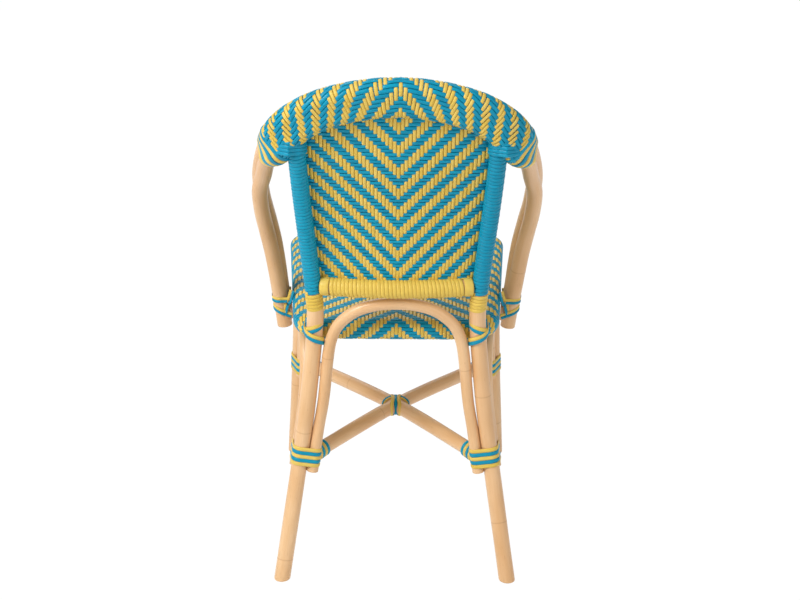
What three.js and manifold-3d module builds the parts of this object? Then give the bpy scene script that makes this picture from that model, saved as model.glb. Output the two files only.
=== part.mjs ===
// Rattan bistro armchair: a bent-pole frame with a woven seat, back and crown, bound with wound strips.
// Millimetres, +Z up. The sitter faces -Y. The origin lies on the floor under the middle of the chair.
// Lengths are given as side (out from the middle), fore (forward from the rear feet) and up (from the floor).
import * as THREE from 'three';
import Module from 'manifold-3d';
import { mergeVertices } from 'three/addons/utils/BufferGeometryUtils.js';

const wasm = await Module();
wasm.setup();

// Poles
const postDiameter = 28;
const frontLegDiameter = 27;
const archDiameter = 19;
const hoopDiameter = 26.5;
const stretcherDiameter = 25.5;
const railDiameter = 26;
const seatPoleDiameter = 28;
const poleSides = 10;

// Clearances
const fitGap = 0.3;
const windGap = 0.5;
const sheathGap = 1.4;
const crossingGap = 2;
const crownGap = 2.3;
const lashingGap = 2.3;
const pairGap = 0.7;
const cutOverrun = 60;
const floorCutSpan = 1200;
const weldDistance = 0.001;
const searchRounds = 40;

// Rear posts and legs
const rearFootSpread = 196;
const postRake = 60;
const postHeight = 786;
const frontFootInset = 3;
const frontFootSetback = 27;
const postShares = [
  [1, 0, 0], [0.832, 0.9, 0.276], [0.765, 0.95, 0.398], [0.704, 1, 0.538], [0.686, 0.967, 0.611],
  [0.697, 0.878, 0.659], [0.72, 0.75, 0.729], [0.765, 0.25, 0.87], [0.785, -0.167, 0.962], [0.79, -0.3, 1],
];
const frontLegShares = [[1, 1], [0.937, 0.965], [0.894, 0.936]];
const glideDiameter = 19;
const glideThickness = 2;
const glideSides = 16;
const postSteps = 16;
const legSteps = 10;

// Leg bindings and the stretchers between them
const rearBindingHeight = 217;
const frontBindingHeight = 212;
const stripWidth = 6.4;
const stripThickness = 1.5;
const stripPitch = 7;
const bindingTurns = 5;
const stretcherBindingTurns = 4;
const stretcherBindingSeat = 5;
const archStubBelow = 30;
const stretcherRearHeight = 205;
const stretcherFrontHeight = 213;
const crossingHeight = 221;
const stretcherSteps = 8;
const sleeveSides = 12;

// Seat
const seatTop = 470;
const seatDrop = 16;
const seatLength = 432;
const seatFrontHalf = 210;
const seatRearHalf = 173;
const seatFrontCorner = 38;
const seatRearCorner = 56;
const cornerSteps = 5;
const weaveThickness = 3.6;
const seatLip = 10;
const slatWidth = 34;
const slatThickness = 9;
const slatPlaceShares = [0.34, 0.68];

// Arches: half-widths of the inverted U at its feet and shoulders
const rearArchTop = 499.5;
const rearArchFore = 46;
const rearArchShares = [
  [1, 0], [0.93, 0.24], [0.86, 0.41], [0.765, 0.765], [0.69, 0.855], [0.59, 0.91], [0.44, 0.96], [0.22, 0.992],
  [0, 1],
];
const sideArchSideOffset = 7;
const rearArchLeanPower = 4;
const sideArchLeanPower = 3;
const rearArchSteps = 26;
const frontArchSteps = 22;
const sideArchSteps = 20;
const sideArchShares = [[0, 0], [0.012, 0.17], [0.035, 0.5], [0.075, 0.76], [0.155, 0.92], [0.27, 0.985], [0.42, 1]];
const frontArchShares = [[1, 0], [0.99, 0.5], [0.93, 0.76], [0.82, 0.92], [0.62, 0.985], [0.3, 1], [0, 1]];

// Crown and arms: two poles, one behind and one before the other, swept in one hoop
const crownHeight = 851;
const armSeatShare = 0.878;
const armReach = 223;
const hoopShares = [
  [0, -0.166, 1], [0.25, -0.163, 0.994], [0.485, -0.15, 0.977], [0.6, -0.124, 0.96], [0.685, -0.1, 0.942],
  [0.745, -0.068, 0.922], [0.812, 0, 0.9], [0.893, 0.157, 0.879], [0.952, 0.381, 0.83], [0.996, 0.529, 0.788],
  [1, 0.659, 0.737], [0.979, 0.771, 0.685], [0.954, 0.857, 0.635], [0.933, 0.919, 0.585], [0.914, 0.964, 0.537],
  [0.892, 0.991, 0.489], [0.878, 1, 0.456],
];
const hoopPairShares = [
  [0, -0.3, 0.95], [0.1, -0.3, 0.95], [0.33, -0.27, 0.9], [0.45, -0.2, 0.85], [0.53, -0.08, 0.82],
  [0.55, 0.08, 0.82], [0.44, 0.3, 0.84], [0.14, 0.66, 0.72], [0.17, 0.74, 0.64], [0.05, 0.8, 0.6],
  [-0.03, 0.85, 0.52], [-0.1, 0.9, 0.42], [-0.12, 0.93, 0.34], [-0.1, 0.96, 0.25], [-0.06, 0.97, 0.2],
  [-0.04, 0.98, 0.15], [-0.03, 0.99, 0.1],
];
const crownEndHeight = 768;
const crownLowShare = 0.88;
const postWrapTop = 745;
const hoopSteps = 44;
const crownStations = 28;
const crownArcSteps = 5;
const pairSearchShare = 0.08;

// Back panel and its lower rail
const railHeight = 528;
const railBow = 14;
const railStations = [-1, -0.5, 0, 0.5, 1];
const railSteps = 10;
const panelFront = 7;
const panelRows = 14;
const panelColumns = 12;
const panelTopGap = 1;
const panelRounds = 6;
const crownSearchSteps = 200;

// Wound strips of the posts and the rail
const postWrapTurns = 16;
const collarTurns = 5;
const collarLow = 484;
const collarHigh = 515;
const railWrapTurns = 16;
const windingGap = 1.7;
const armBindingTurns = 5;
const armBindingStandOff = 9;

// Lashings
const lashingWidth = 12;
const postLashingWidth = 11;
const postLashingDrops = { low: 50, high: 23 };
const shoulderLow = 747;
const shoulderHigh = 786;
const armLashingWidth = 10;
const armLashingDrops = { low: 50, high: 34 };

// Screws
const screwRise = 8;
const screwRadius = 1.8;
const screwHeadRadius = 4;
const screwHeadHeight = 1.8;
const screwSides = 10;
const screwHeadCrownShare = 0.7;

// Finishes

const rattan = { color: 0xe0b88a, roughness: 0.5, metalness: 0 };
const blueStrip = { color: 0x0a8fc4, roughness: 0.45, metalness: 0 };
const yellowStrip = { color: 0xe6bb44, roughness: 0.45, metalness: 0 };
const wovenSheet = { color: 0x4aa08c, roughness: 0.5, metalness: 0 };
const stripedBand = { color: 0x9ab070, roughness: 0.45, metalness: 0 };
const screwSteel = { color: 0x3a3836, roughness: 0.4, metalness: 0.9 };
const glidePlastic = { color: 0x8c7a64, roughness: 0.6, metalness: 0 };

const stretcherBindingLength = stretcherBindingTurns * stripPitch;
const postRadius = postDiameter / 2;
const frontLegRadius = frontLegDiameter / 2;
const archRadius = archDiameter / 2;
const hoopRadius = hoopDiameter / 2;
const stretcherRadius = stretcherDiameter / 2;
const railRadius = railDiameter / 2;
const seatPoleRadius = seatPoleDiameter / 2;
const screwCrownRadius = screwHeadRadius * screwHeadCrownShare;

const chair = new THREE.Group();

// Side, fore and up as a point. Right is +X, as seen by someone facing the chair's front.
function spot(side, fore, up) {
  return new THREE.Vector3(side, -fore, up);
}

function foreOf(point) {
  return -point.y;
}

function addPart(name, geometry, finish) {
  const mesh = new THREE.Mesh(geometry, new THREE.MeshStandardMaterial(finish));
  mesh.name = name;
  chair.add(mesh);
  return mesh;
}

function smoothPath(points) {
  return new THREE.CatmullRomCurve3(points, false, 'centripetal');
}

function roundSection(radius, sides) {
  const corners = [];
  for (let k = 0; k < sides; k += 1) {
    const angle = (k / sides) * Math.PI * 2;
    corners.push(new THREE.Vector2(Math.cos(angle) * radius, Math.sin(angle) * radius));
  }
  return new THREE.Shape(corners);
}

function pole(curve, radius, steps, sides = poleSides) {
  const settings = { steps, bevelEnabled: false, extrudePath: curve };
  return new THREE.ExtrudeGeometry(roundSection(radius, sides), settings);
}

// Booleans
function toSolid(geometry) {
  const bare = geometry.clone();
  bare.deleteAttribute('normal');
  bare.deleteAttribute('uv');
  const merged = mergeVertices(bare, weldDistance);
  const vertProperties = new Float32Array(merged.attributes.position.array);
  const triVerts = new Uint32Array(merged.index.array);
  return new wasm.Manifold(new wasm.Mesh({ numProp: 3, vertProperties, triVerts }));
}

function toGeometry(solid) {
  const mesh = solid.getMesh();
  const geometry = new THREE.BufferGeometry();
  geometry.setAttribute('position', new THREE.BufferAttribute(new Float32Array(mesh.vertProperties), 3));
  geometry.setIndex(new THREE.BufferAttribute(new Uint32Array(mesh.triVerts), 1));
  geometry.computeVertexNormals();
  return geometry;
}

function block(width, depth, height, centre) {
  const geometry = new THREE.BoxGeometry(width, depth, height);
  geometry.translate(centre.x, centre.y, centre.z);
  return geometry;
}

// Curve places found by height or by share of length
function shareAtHeight(curve, up) {
  let low = 0;
  let high = 1;
  for (let round = 0; round < searchRounds; round += 1) {
    const middle = (low + high) / 2;
    if (curve.getPointAt(middle).z < up) low = middle;
    else high = middle;
  }
  return (low + high) / 2;
}

function atHeight(curve, up) {
  return curve.getPointAt(shareAtHeight(curve, up));
}

// Half of an arch or hoop, from either end to its middle
function lowerHalf(curve) {
  return { getPointAt: (share) => curve.getPointAt(share / 2) };
}

function upperHalfReversed(curve) {
  return { getPointAt: (share) => curve.getPointAt(1 - share / 2) };
}

// Loops of points joined one to the next and capped at both ends
function loft(rings) {
  const count = rings[0].length;
  const positions = rings.flat().flatMap((point) => [point.x, point.y, point.z]);
  const index = [];
  for (let r = 0; r < rings.length - 1; r += 1) {
    const next = r + 1;
    for (let k = 0; k < count; k += 1) {
      const a = r * count + k;
      const b = r * count + ((k + 1) % count);
      const c = next * count + ((k + 1) % count);
      const d = next * count + k;
      index.push(a, b, c, a, c, d);
    }
  }
  const last = (rings.length - 1) * count;
  for (let k = 1; k < count - 1; k += 1) {
    index.push(0, k + 1, k);
    index.push(last, last + k, last + k + 1);
  }
  const geometry = new THREE.BufferGeometry();
  geometry.setAttribute('position', new THREE.Float32BufferAttribute(positions, 3));
  geometry.setIndex(index);
  return outward(geometry);
}

// Turns a closed geometry's faces outward
function outward(geometry) {
  const p = geometry.attributes.position;
  const index = geometry.index.array;
  const a = new THREE.Vector3();
  const b = new THREE.Vector3();
  const c = new THREE.Vector3();
  let volume = 0;
  for (let k = 0; k < index.length; k += 3) {
    a.fromBufferAttribute(p, index[k]);
    b.fromBufferAttribute(p, index[k + 1]);
    c.fromBufferAttribute(p, index[k + 2]);
    volume += a.dot(b.cross(c));
  }
  if (volume < 0) {
    for (let k = 0; k < index.length; k += 3) {
      const first = index[k];
      index[k] = index[k + 1];
      index[k + 1] = first;
    }
  }
  geometry.computeVertexNormals();
  return geometry;
}

// Rear posts
function postCurve(hand) {
  return smoothPath(postShares.map(([side, fore, up]) => (
    spot(hand * side * rearFootSpread, fore * postRake, up * postHeight))));
}

function frontLegCurve(hand) {
  const top = seatUnderside(frontFootReach * frontLegShares[2][1]) - pairGap;
  const heights = [0, frontBindingHeight, top];
  return smoothPath(frontLegShares.map(([side, fore], k) => (
    spot(hand * side * frontFootSpread, fore * frontFootReach, heights[k]))));
}

// Seat levels: the seat's plane falls to the rear
const rightPost = postCurve(1);
const leftPost = postCurve(-1);
const seatRearFore = foreOf(atHeight(rightPost, seatTop - seatDrop - seatPoleRadius)) + postRadius + fitGap;
const edgeBends = [90, 60, 30, 0, -30, -60, -90];
const bendStep = edgeBends[0] - edgeBends[1];
const seatHollow = (seatPoleRadius + fitGap) / Math.cos(THREE.MathUtils.degToRad(bendStep / 2));
const seatEdge = seatHollow + weaveThickness;
const frontFootSpread = seatFrontHalf - frontFootInset;
const frontFootReach = seatRearFore + seatLength - frontFootSetback;

function seatLevel(fore) {
  return seatTop - seatDrop * (1 - (fore - seatRearFore) / seatLength);
}

function seatHalfAt(fore) {
  return seatRearHalf + ((fore - seatRearFore) / seatLength) * (seatFrontHalf - seatRearHalf);
}

const armSpread = (seatHalfAt(armReach) + hoopRadius + fitGap) / armSeatShare;

function seatUnderside(fore) {
  return seatLevel(fore) - seatEdge * 2;
}

// Seat outline: a trapezoid with rounded corners, moved in by an inset, as [side, fore] points
function seatOutline(inset) {
  const corners = [
    { side: seatRearHalf, fore: 0, radius: seatRearCorner },
    { side: seatFrontHalf, fore: seatLength, radius: seatFrontCorner },
  ];
  const lean = Math.atan2(seatFrontHalf - seatRearHalf, seatLength);
  const half = [];
  corners.forEach((corner, k) => {
    const front = k === 1;
    const turn = front ? Math.PI / 2 + lean : Math.PI / 2 - lean;
    const reach = corner.radius / Math.tan((Math.PI - turn) / 2);
    const centreFore = front ? corner.fore - corner.radius : corner.fore + corner.radius;
    const sideAtCorner = corner.side - reach;
    const startAngle = front ? -lean : -Math.PI / 2;
    for (let step = 0; step <= cornerSteps; step += 1) {
      const angle = startAngle + turn * (step / cornerSteps);
      const radius = corner.radius - inset;
      half.push([sideAtCorner + Math.cos(angle) * radius, centreFore + Math.sin(angle) * radius]);
    }
  });
  const mirrored = half.map(([side, fore]) => [-side, fore]).reverse();
  return half.concat(mirrored).map(([side, fore]) => [side, fore + seatRearFore]);
}

function seatRing(inset, drop) {
  return seatOutline(inset).map(([side, fore]) => spot(side, fore, seatLevel(fore) - drop));
}

function seatWeave() {
  const middle = seatEdge;
  const outer = edgeBends.map((bend) => {
    const angle = THREE.MathUtils.degToRad(bend);
    return seatRing(middle - Math.cos(angle) * middle, middle - Math.sin(angle) * middle);
  });
  const inside = seatHollow;
  const inner = edgeBends.map((bend) => {
    const angle = THREE.MathUtils.degToRad(bend);
    return seatRing(middle - Math.cos(angle) * inside, middle - Math.sin(angle) * inside);
  }).reverse();
  const lip = [middle * 2, middle * 2 - weaveThickness].map((drop) => seatRing(middle + seatLip, drop));
  return loft([...outer, ...lip, ...inner]);
}

// Seat pole: one bent ring whose ends meet at the middle of the rear
function seatPole() {
  const ring = seatRing(seatEdge, seatEdge);
  const start = ring[ring.length - 1].clone().lerp(ring[0], 0.5);
  const points = [start.clone().setX(pairGap), ...ring, start.clone().setX(-pairGap)];
  return sweepRound(points, seatPoleRadius);
}

// A round section swept along straight runs, mitred at each corner
function sweepRound(points, radius) {
  const up = new THREE.Vector3(0, 0, 1);
  const rings = points.map((point, k) => {
    const before = points[Math.max(k - 1, 0)];
    const after = points[Math.min(k + 1, points.length - 1)];
    const incoming = point.clone().sub(before).normalize();
    const outgoing = after.clone().sub(point).normalize();
    const along = incoming.clone().add(outgoing).normalize();
    const leading = k === 0 ? outgoing : incoming;
    const stretch = 1 / along.dot(leading);
    const across = along.clone().cross(up).normalize().multiplyScalar(stretch);
    const raised = across.clone().cross(along).normalize();
    return Array.from({ length: poleSides }, (_, s) => {
      const angle = (s / poleSides) * Math.PI * 2;
      return point.clone()
        .addScaledVector(across, Math.cos(angle) * radius)
        .addScaledVector(raised, Math.sin(angle) * radius);
    });
  });
  return loft(rings);
}

// Seat slats under the woven top, between the side rails
function seatSlat(placeShare) {
  const middle = seatRearFore + seatLength * placeShare;
  const slatInset = seatEdge + seatPoleRadius + fitGap;
  const lean = (seatFrontHalf - seatRearHalf) / seatLength;
  const slope = Math.hypot(1, lean);
  const corners = [[1, -0.5], [1, 0.5], [-1, 0.5], [-1, -0.5]];
  const levels = [weaveThickness + fitGap, weaveThickness + fitGap + slatThickness];
  const rings = levels.map((drop) => corners.map(([hand, share]) => {
    const fore = middle + share * slatWidth;
    const half = seatHalfAt(fore) - slatInset * slope;
    return spot(hand * half, fore, seatLevel(fore) - drop);
  }));
  return loft(rings);
}

addPart('seat_slat_rear', seatSlat(slatPlaceShares[0]), rattan);
addPart('seat_slat_front', seatSlat(slatPlaceShares[1]), rattan);

// Loops of strip: a polygon round one pole or a bundle, with the mitred way out at each corner
function mitredLoop(points) {
  return points.map((point, k) => {
    const before = points[(k + points.length - 1) % points.length];
    const after = points[(k + 1) % points.length];
    const first = new THREE.Vector2(point.y - before.y, before.x - point.x).normalize();
    const second = new THREE.Vector2(after.y - point.y, point.x - after.x).normalize();
    const out = first.clone().add(second).divideScalar(1 + first.dot(second));
    return { point, out };
  });
}

function roundLoop(radius, sides = poleSides) {
  const reach = (radius + windGap) / Math.cos(Math.PI / sides);
  return mitredLoop(Array.from({ length: sides }, (_, k) => {
    const angle = (k / sides) * Math.PI * 2;
    return new THREE.Vector2(Math.cos(angle) * reach, Math.sin(angle) * reach);
  }));
}

// The convex outline round several circles of a bundle
function bundleLoop(circles, gap = windGap) {
  const points = circles.flatMap(({ x, y, radius }) => {
    const reach = (radius + gap) / Math.cos(Math.PI / poleSides);
    return Array.from({ length: poleSides }, (_, k) => {
      const angle = (k / poleSides) * Math.PI * 2;
      return new THREE.Vector2(x + Math.cos(angle) * reach, y + Math.sin(angle) * reach);
    });
  });
  const sorted = points.sort((a, b) => a.x - b.x || a.y - b.y);
  const turnsLeft = (a, b, c) => (b.x - a.x) * (c.y - a.y) - (b.y - a.y) * (c.x - a.x) > 0;
  const chain = (list) => {
    const kept = [];
    list.forEach((point) => {
      while (kept.length > 1 && !turnsLeft(kept[kept.length - 2], kept[kept.length - 1], point)) kept.pop();
      kept.push(point);
    });
    return kept.slice(0, -1);
  };
  const hull = [...chain(sorted), ...chain([...sorted].reverse())];
  const spread = archRadius / poleSides;
  const merged = hull.filter((point, k) => point.distanceTo(hull[(k + 1) % hull.length]) > spread);
  return mitredLoop(merged);
}

// One unbroken strip wound round its inner corners; its least gap to itself is printed
function wind(name, { turns, corners, width, place }) {
  const steps = turns * corners;
  const rings = [];
  for (let k = 0; k <= steps; k += 1) {
    const { inner, outer, along } = place(k / steps, k % corners);
    const edge = along.clone().multiplyScalar(width / 2);
    const faces = [inner, outer];
    rings.push([
      ...faces.map((face) => face.clone().sub(edge)), ...faces.reverse().map((face) => face.clone().add(edge)),
    ]);
  }
  let least = Infinity;
  rings.forEach((ring, k) => {
    const above = rings[k + corners];
    if (above) ring.forEach((a) => above.forEach((b) => { least = Math.min(least, a.distanceTo(b)); }));
  });
  console.log(`${name}: ${turns} turns, least gap to itself ${least.toFixed(2)} mm`);
  return loft(rings);
}

// A strip wound round a pole or bundle whose outline is the same all along
function windPole(name, { curve, from, to, turns, loop, width, thickness }) {
  const place = (share, corner) => {
    const at = THREE.MathUtils.lerp(from, to, share);
    const along = curve.getTangentAt(at);
    const { u, v } = crossAxes(along);
    const { point, out } = loop[corner];
    const inner = curve.getPointAt(at).addScaledVector(u, point.x).addScaledVector(v, point.y);
    const outer = inner.clone().addScaledVector(u, out.x * thickness).addScaledVector(v, out.y * thickness);
    return { inner, outer, along };
  };
  return wind(name, { turns, corners: loop.length, width, place });
}

// Two axes square to a direction, turned the same way all along a pole
function crossAxes(along) {
  const reference = Math.abs(along.x) > Math.abs(along.z) * 2
    ? new THREE.Vector3(0, 0, 1) : new THREE.Vector3(1, 0, 0);
  const u = reference.clone().addScaledVector(along, -reference.dot(along)).normalize();
  const v = along.clone().cross(u);
  return { u, v };
}

const wrapReach = (postRadius + windGap + stripThickness) / Math.cos(Math.PI / poleSides);

// Crown and arm hoops: the lower pole behind, the upper pole a pair gap off it
const hoopSpacing = hoopDiameter + pairGap;
function hoopPoints() {
  const right = hoopShares.map(([side, fore, up]) => spot(side * armSpread, fore * armReach, up * crownHeight));
  const left = right.slice(1).map((point) => point.clone().setX(-point.x)).reverse();
  return [...left, ...right];
}

const lowerHoop = smoothPath(hoopPoints());

function upperHoopCurve() {
  const points = hoopPoints();
  const last = points.length - 1;
  const middle = last / 2;
  return smoothPath(points.map((point, k) => {
    const [side, fore, up] = hoopPairShares[Math.abs(k - middle)];
    const aside = spot(Math.sign(k - middle) * side, fore, up);
    const along = points[Math.min(k + 1, last)].clone().sub(points[Math.max(k - 1, 0)]).normalize();
    aside.addScaledVector(along, -aside.dot(along)).normalize();
    return point.clone().addScaledVector(aside, hoopSpacing);
  }));
}

const upperHoop = upperHoopCurve();

// The place on the upper hoop level with a place on the lower one
function pairAt(share) {
  const centre = lowerHoop.getPointAt(share);
  const along = lowerHoop.getTangentAt(share);
  let low = Math.max(share - pairSearchShare, 0);
  let high = Math.min(share + pairSearchShare, 1);
  for (let round = 0; round < searchRounds; round += 1) {
    const middle = (low + high) / 2;
    if (upperHoop.getPointAt(middle).sub(centre).dot(along) < 0) low = middle;
    else high = middle;
  }
  return { centre, along, partner: upperHoop.getPointAt((low + high) / 2) };
}

// The racetrack round both hoops at a station, as a ring of points
function hoopRing(share, radius) {
  const { centre, along, partner } = pairAt(share);
  const across = partner.clone().sub(centre);
  across.addScaledVector(along, -across.dot(along));
  const spacing = across.length();
  across.normalize();
  const beside = along.clone().cross(across);
  const half = crownArcSteps;
  const reach = radius / Math.cos(Math.PI / (2 * half));
  const ring = [];
  for (let k = 0; k <= half; k += 1) {
    const angle = (k / half) * Math.PI;
    ring.push(centre.clone().addScaledVector(across, spacing + Math.sin(angle) * reach)
      .addScaledVector(beside, Math.cos(angle) * reach));
  }
  for (let k = 0; k <= half; k += 1) {
    const angle = Math.PI + (k / half) * Math.PI;
    ring.push(centre.clone().addScaledVector(across, Math.sin(angle) * reach)
      .addScaledVector(beside, Math.cos(angle) * reach));
  }
  return ring;
}

const crownEndShare = shareAtHeight(lowerHalf(lowerHoop), crownEndHeight) / 2;

function crownRings(radius) {
  const first = crownEndShare;
  return Array.from({ length: crownStations + 1 }, (_, k) => (
    hoopRing(first + (1 - 2 * first) * (k / crownStations), radius)));
}

const crownHollow = hoopRadius + crownGap;
const crownOuter = crownHollow + weaveThickness;

function crownWeave() {
  const outer = crownRings(crownOuter);
  const inner = crownRings(crownHollow);
  return tube(outer, inner);
}

// A wall between two lofts of rings, open at both ends
function tube(outer, inner) {
  const count = outer[0].length;
  const span = outer.length;
  const positions = [...outer, ...inner].flat().flatMap((point) => [point.x, point.y, point.z]);
  const index = [];
  const quad = (a, b, c, d) => index.push(a, b, c, a, c, d);
  for (let k = 0; k < count; k += 1) {
    const n = (k + 1) % count;
    for (let r = 0; r < span - 1; r += 1) {
      quad(r * count + k, r * count + n, (r + 1) * count + n, (r + 1) * count + k);
      const o = span * count;
      quad(o + r * count + n, o + r * count + k, o + (r + 1) * count + k, o + (r + 1) * count + n);
    }
    const last = span - 1;
    quad(n, k, span * count + k, span * count + n);
    quad(last * count + k, last * count + n, (span + last) * count + n, (span + last) * count + k);
  }
  const geometry = new THREE.BufferGeometry();
  geometry.setAttribute('position', new THREE.Float32BufferAttribute(positions, 3));
  geometry.setIndex(index);
  return outward(geometry);
}

const sides = [['right', 1], ['left', -1]];

// Screws that pin each arm pole through the woven edge into the seat pole
function armScrew(hoop, hand) {
  const half = upperHalfReversed(hoop);
  const near = atHeight(half, seatTop);
  const centre = atHeight(half, seatLevel(foreOf(near)) - seatEdge + screwRise);
  const head = centre.x + hoopRadius + fitGap;
  const tip = seatHalfAt(foreOf(centre)) - seatEdge;
  const profile = [[0, head + screwHeadHeight], [screwCrownRadius, head + screwHeadHeight],
    [screwHeadRadius, head], [screwRadius, head], [screwRadius, tip], [0, tip]];
  const bore = [[0, head + cutOverrun], [screwRadius + fitGap, head + cutOverrun],
    [screwRadius + fitGap, tip - fitGap], [0, tip - fitGap]];
  return [profile, bore].map((points) => {
    const shape = points.reverse().map(([radius, along]) => new THREE.Vector2(radius, along));
    const geometry = new THREE.LatheGeometry(shape, screwSides);
    geometry.rotateZ(-hand * Math.PI / 2);
    geometry.translate(0, centre.y, centre.z);
    return geometry;
  });
}

const screwedHoops = [['rear', lowerHoop], ['front', upperHoop]];
const screws = sides.flatMap(([word, hand]) => screwedHoops.map(([place, hoop]) => {
  const [body, bore] = armScrew(hoop, hand);
  return { name: `arm_screw_${place}_${word}`, body, bore: toSolid(bore) };
}));

function drilled(geometry) {
  return toGeometry(screws.reduce((solid, { bore }) => solid.subtract(bore), toSolid(geometry)));
}

screws.forEach(({ name, body }) => addPart(name, body, screwSteel));
addPart('seat_weave', drilled(seatWeave()), wovenSheet);
addPart('seat_hoop', drilled(seatPole()), rattan);
addPart('arm_hoop_lower', drilled(pole(lowerHoop, hoopRadius, hoopSteps)), rattan);
addPart('arm_hoop_upper', drilled(pole(upperHoop, hoopRadius, hoopSteps)), rattan);
addPart('crown_weave', crownWeave(), wovenSheet);

// The largest body left by a cut
function mainBody(solid) {
  return solid.decompose().sort((a, b) => b.volume() - a.volume())[0];
}

const floorCutCentre = spot(0, 0, glideThickness + fitGap - cutOverrun / 2);
const floorCut = toSolid(block(floorCutSpan, floorCutSpan, cutOverrun, floorCutCentre));
const crownKeepOut = toSolid(loft(crownRings(crownOuter + fitGap)));

// Rear posts are coped to the crown and stand flat on their glides
function rearPost(hand) {
  const curve = hand > 0 ? rightPost : leftPost;
  const start = curve.getPointAt(0);
  const below = start.clone().addScaledVector(curve.getTangentAt(0), -postRadius);
  const full = smoothPath([below, ...curve.points]);
  const uncut = toSolid(pole(full, postRadius, postSteps));
  return toGeometry(mainBody(uncut.subtract(floorCut).subtract(crownKeepOut)));
}

function frontLeg(hand) {
  const curve = frontLegCurve(hand);
  const below = curve.getPointAt(0).addScaledVector(curve.getTangentAt(0), -frontLegRadius);
  const full = smoothPath([below, ...curve.points]);
  return toGeometry(mainBody(toSolid(pole(full, frontLegRadius, legSteps)).subtract(floorCut)));
}

function glide(centre) {
  const geometry = new THREE.CylinderGeometry(glideDiameter / 2, glideDiameter / 2, glideThickness, glideSides);
  geometry.rotateX(Math.PI / 2);
  geometry.translate(centre.x, centre.y, glideThickness / 2);
  return geometry;
}

sides.forEach(([word, hand]) => {
  addPart(`rear_post_${word}`, rearPost(hand), rattan);
  addPart(`front_leg_${word}`, frontLeg(hand), rattan);
  addPart(`rear_glide_${word}`, glide(postCurve(hand).getPointAt(0)), glidePlastic);
  addPart(`front_glide_${word}`, glide(frontLegCurve(hand).getPointAt(0)), glidePlastic);
});

// Arches: bent poles that stand against the legs and brace the seat
const stubHeight = rearBindingHeight - archStubBelow;
const rearPair = postRadius + archRadius + pairGap;
const frontPair = frontLegRadius + archRadius + pairGap;

function mirroredArch(halfPoints) {
  const left = halfPoints.slice(0, -1).map((point) => point.clone().setX(-point.x));
  return smoothPath([...halfPoints.slice(0, -1), halfPoints[halfPoints.length - 1], ...left.reverse()]);
}

function rearArchCurve() {
  const foot = atHeight(rightPost, stubHeight).x - rearPair;
  return mirroredArch(rearArchShares.map(([sideShare, upShare]) => {
    const up = stubHeight + upShare * (rearArchTop - stubHeight);
    const beside = atHeight(rightPost, up);
    const side = Math.min(sideShare * foot, beside.x - rearPair);
    const fore = THREE.MathUtils.lerp(foreOf(beside), rearArchFore, upShare ** rearArchLeanPower);
    return spot(side, fore, up);
  }));
}

const rightFrontLeg = frontLegCurve(1);

function frontArchCurve() {
  const foot = atHeight(rightFrontLeg, stubHeight).x - frontPair;
  const topFore = foreOf(rightFrontLeg.getPointAt(1));
  const top = seatUnderside(topFore) - fitGap - archRadius;
  return mirroredArch(frontArchShares.map(([sideShare, upShare]) => {
    const up = stubHeight + upShare * (top - stubHeight);
    const beside = atHeight(rightFrontLeg, up);
    return spot(Math.min(sideShare * foot, beside.x - frontPair), foreOf(beside), up);
  }));
}

function sideArchCurve(hand) {
  const rearReach = Math.sqrt(rearPair ** 2 - sideArchSideOffset ** 2);
  const frontReach = Math.sqrt(frontPair ** 2 - sideArchSideOffset ** 2);
  const rearFore = foreOf(atHeight(rightPost, stubHeight)) + rearReach;
  const frontFore = foreOf(atHeight(rightFrontLeg, stubHeight)) - frontReach;
  const shares = [...sideArchShares, ...sideArchShares.map(([along, rise]) => [1 - along, rise]).reverse()];
  return smoothPath(shares.map(([along, rise]) => {
    const evenFore = THREE.MathUtils.lerp(rearFore, frontFore, along);
    const top = seatUnderside(evenFore) - fitGap - archRadius;
    const up = THREE.MathUtils.lerp(stubHeight, top, rise);
    const rear = atHeight(rightPost, up);
    const front = atHeight(rightFrontLeg, up);
    const fore = THREE.MathUtils.clamp(evenFore, foreOf(rear) + rearReach, foreOf(front) - frontReach);
    const besideLegs = THREE.MathUtils.lerp(rear.x + sideArchSideOffset, front.x - sideArchSideOffset, along);
    const side = THREE.MathUtils.lerp(besideLegs, seatHalfAt(fore) - seatEdge, rise ** sideArchLeanPower);
    return spot(hand * side, fore, up);
  }));
}

const rearArch = rearArchCurve();
const frontArch = frontArchCurve();
addPart('rear_arch', pole(rearArch, archRadius, rearArchSteps), rattan);
addPart('front_arch', pole(frontArch, archRadius, frontArchSteps), rattan);
sides.forEach(([word, hand]) => {
  addPart(`side_arch_${word}`, pole(sideArchCurve(hand), archRadius, sideArchSteps), rattan);
});

// Back rail between the posts, bowed to the rear, and its yellow winding
function railCurve() {
  const post = atHeight(rightPost, railHeight);
  const half = post.x - wrapReach - sheathGap;
  return smoothPath(railStations.map((share) => (
    spot(share * half, foreOf(post) - railBow * (1 - share * share), railHeight))));
}

const rail = railCurve();
addPart('back_rail', pole(rail, railRadius, railSteps), rattan);

// A winding that fills a stretch of a pole, from one share of its length to another
function windingAlong(name, curve, radius, from, to, turns) {
  const pitch = (curve.getLength() * (to - from)) / (turns + 1);
  const width = pitch - windingGap;
  const inset = pitch / 2 / curve.getLength();
  return windPole(name, {
    curve,
    from: from + inset,
    to: to - inset,
    turns,
    loop: roundLoop(radius),
    width,
    thickness: stripThickness,
  });
}

addPart('back_rail_wrap', windingAlong('back_rail_wrap', rail, railRadius, 0, 1, railWrapTurns), yellowStrip);

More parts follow.
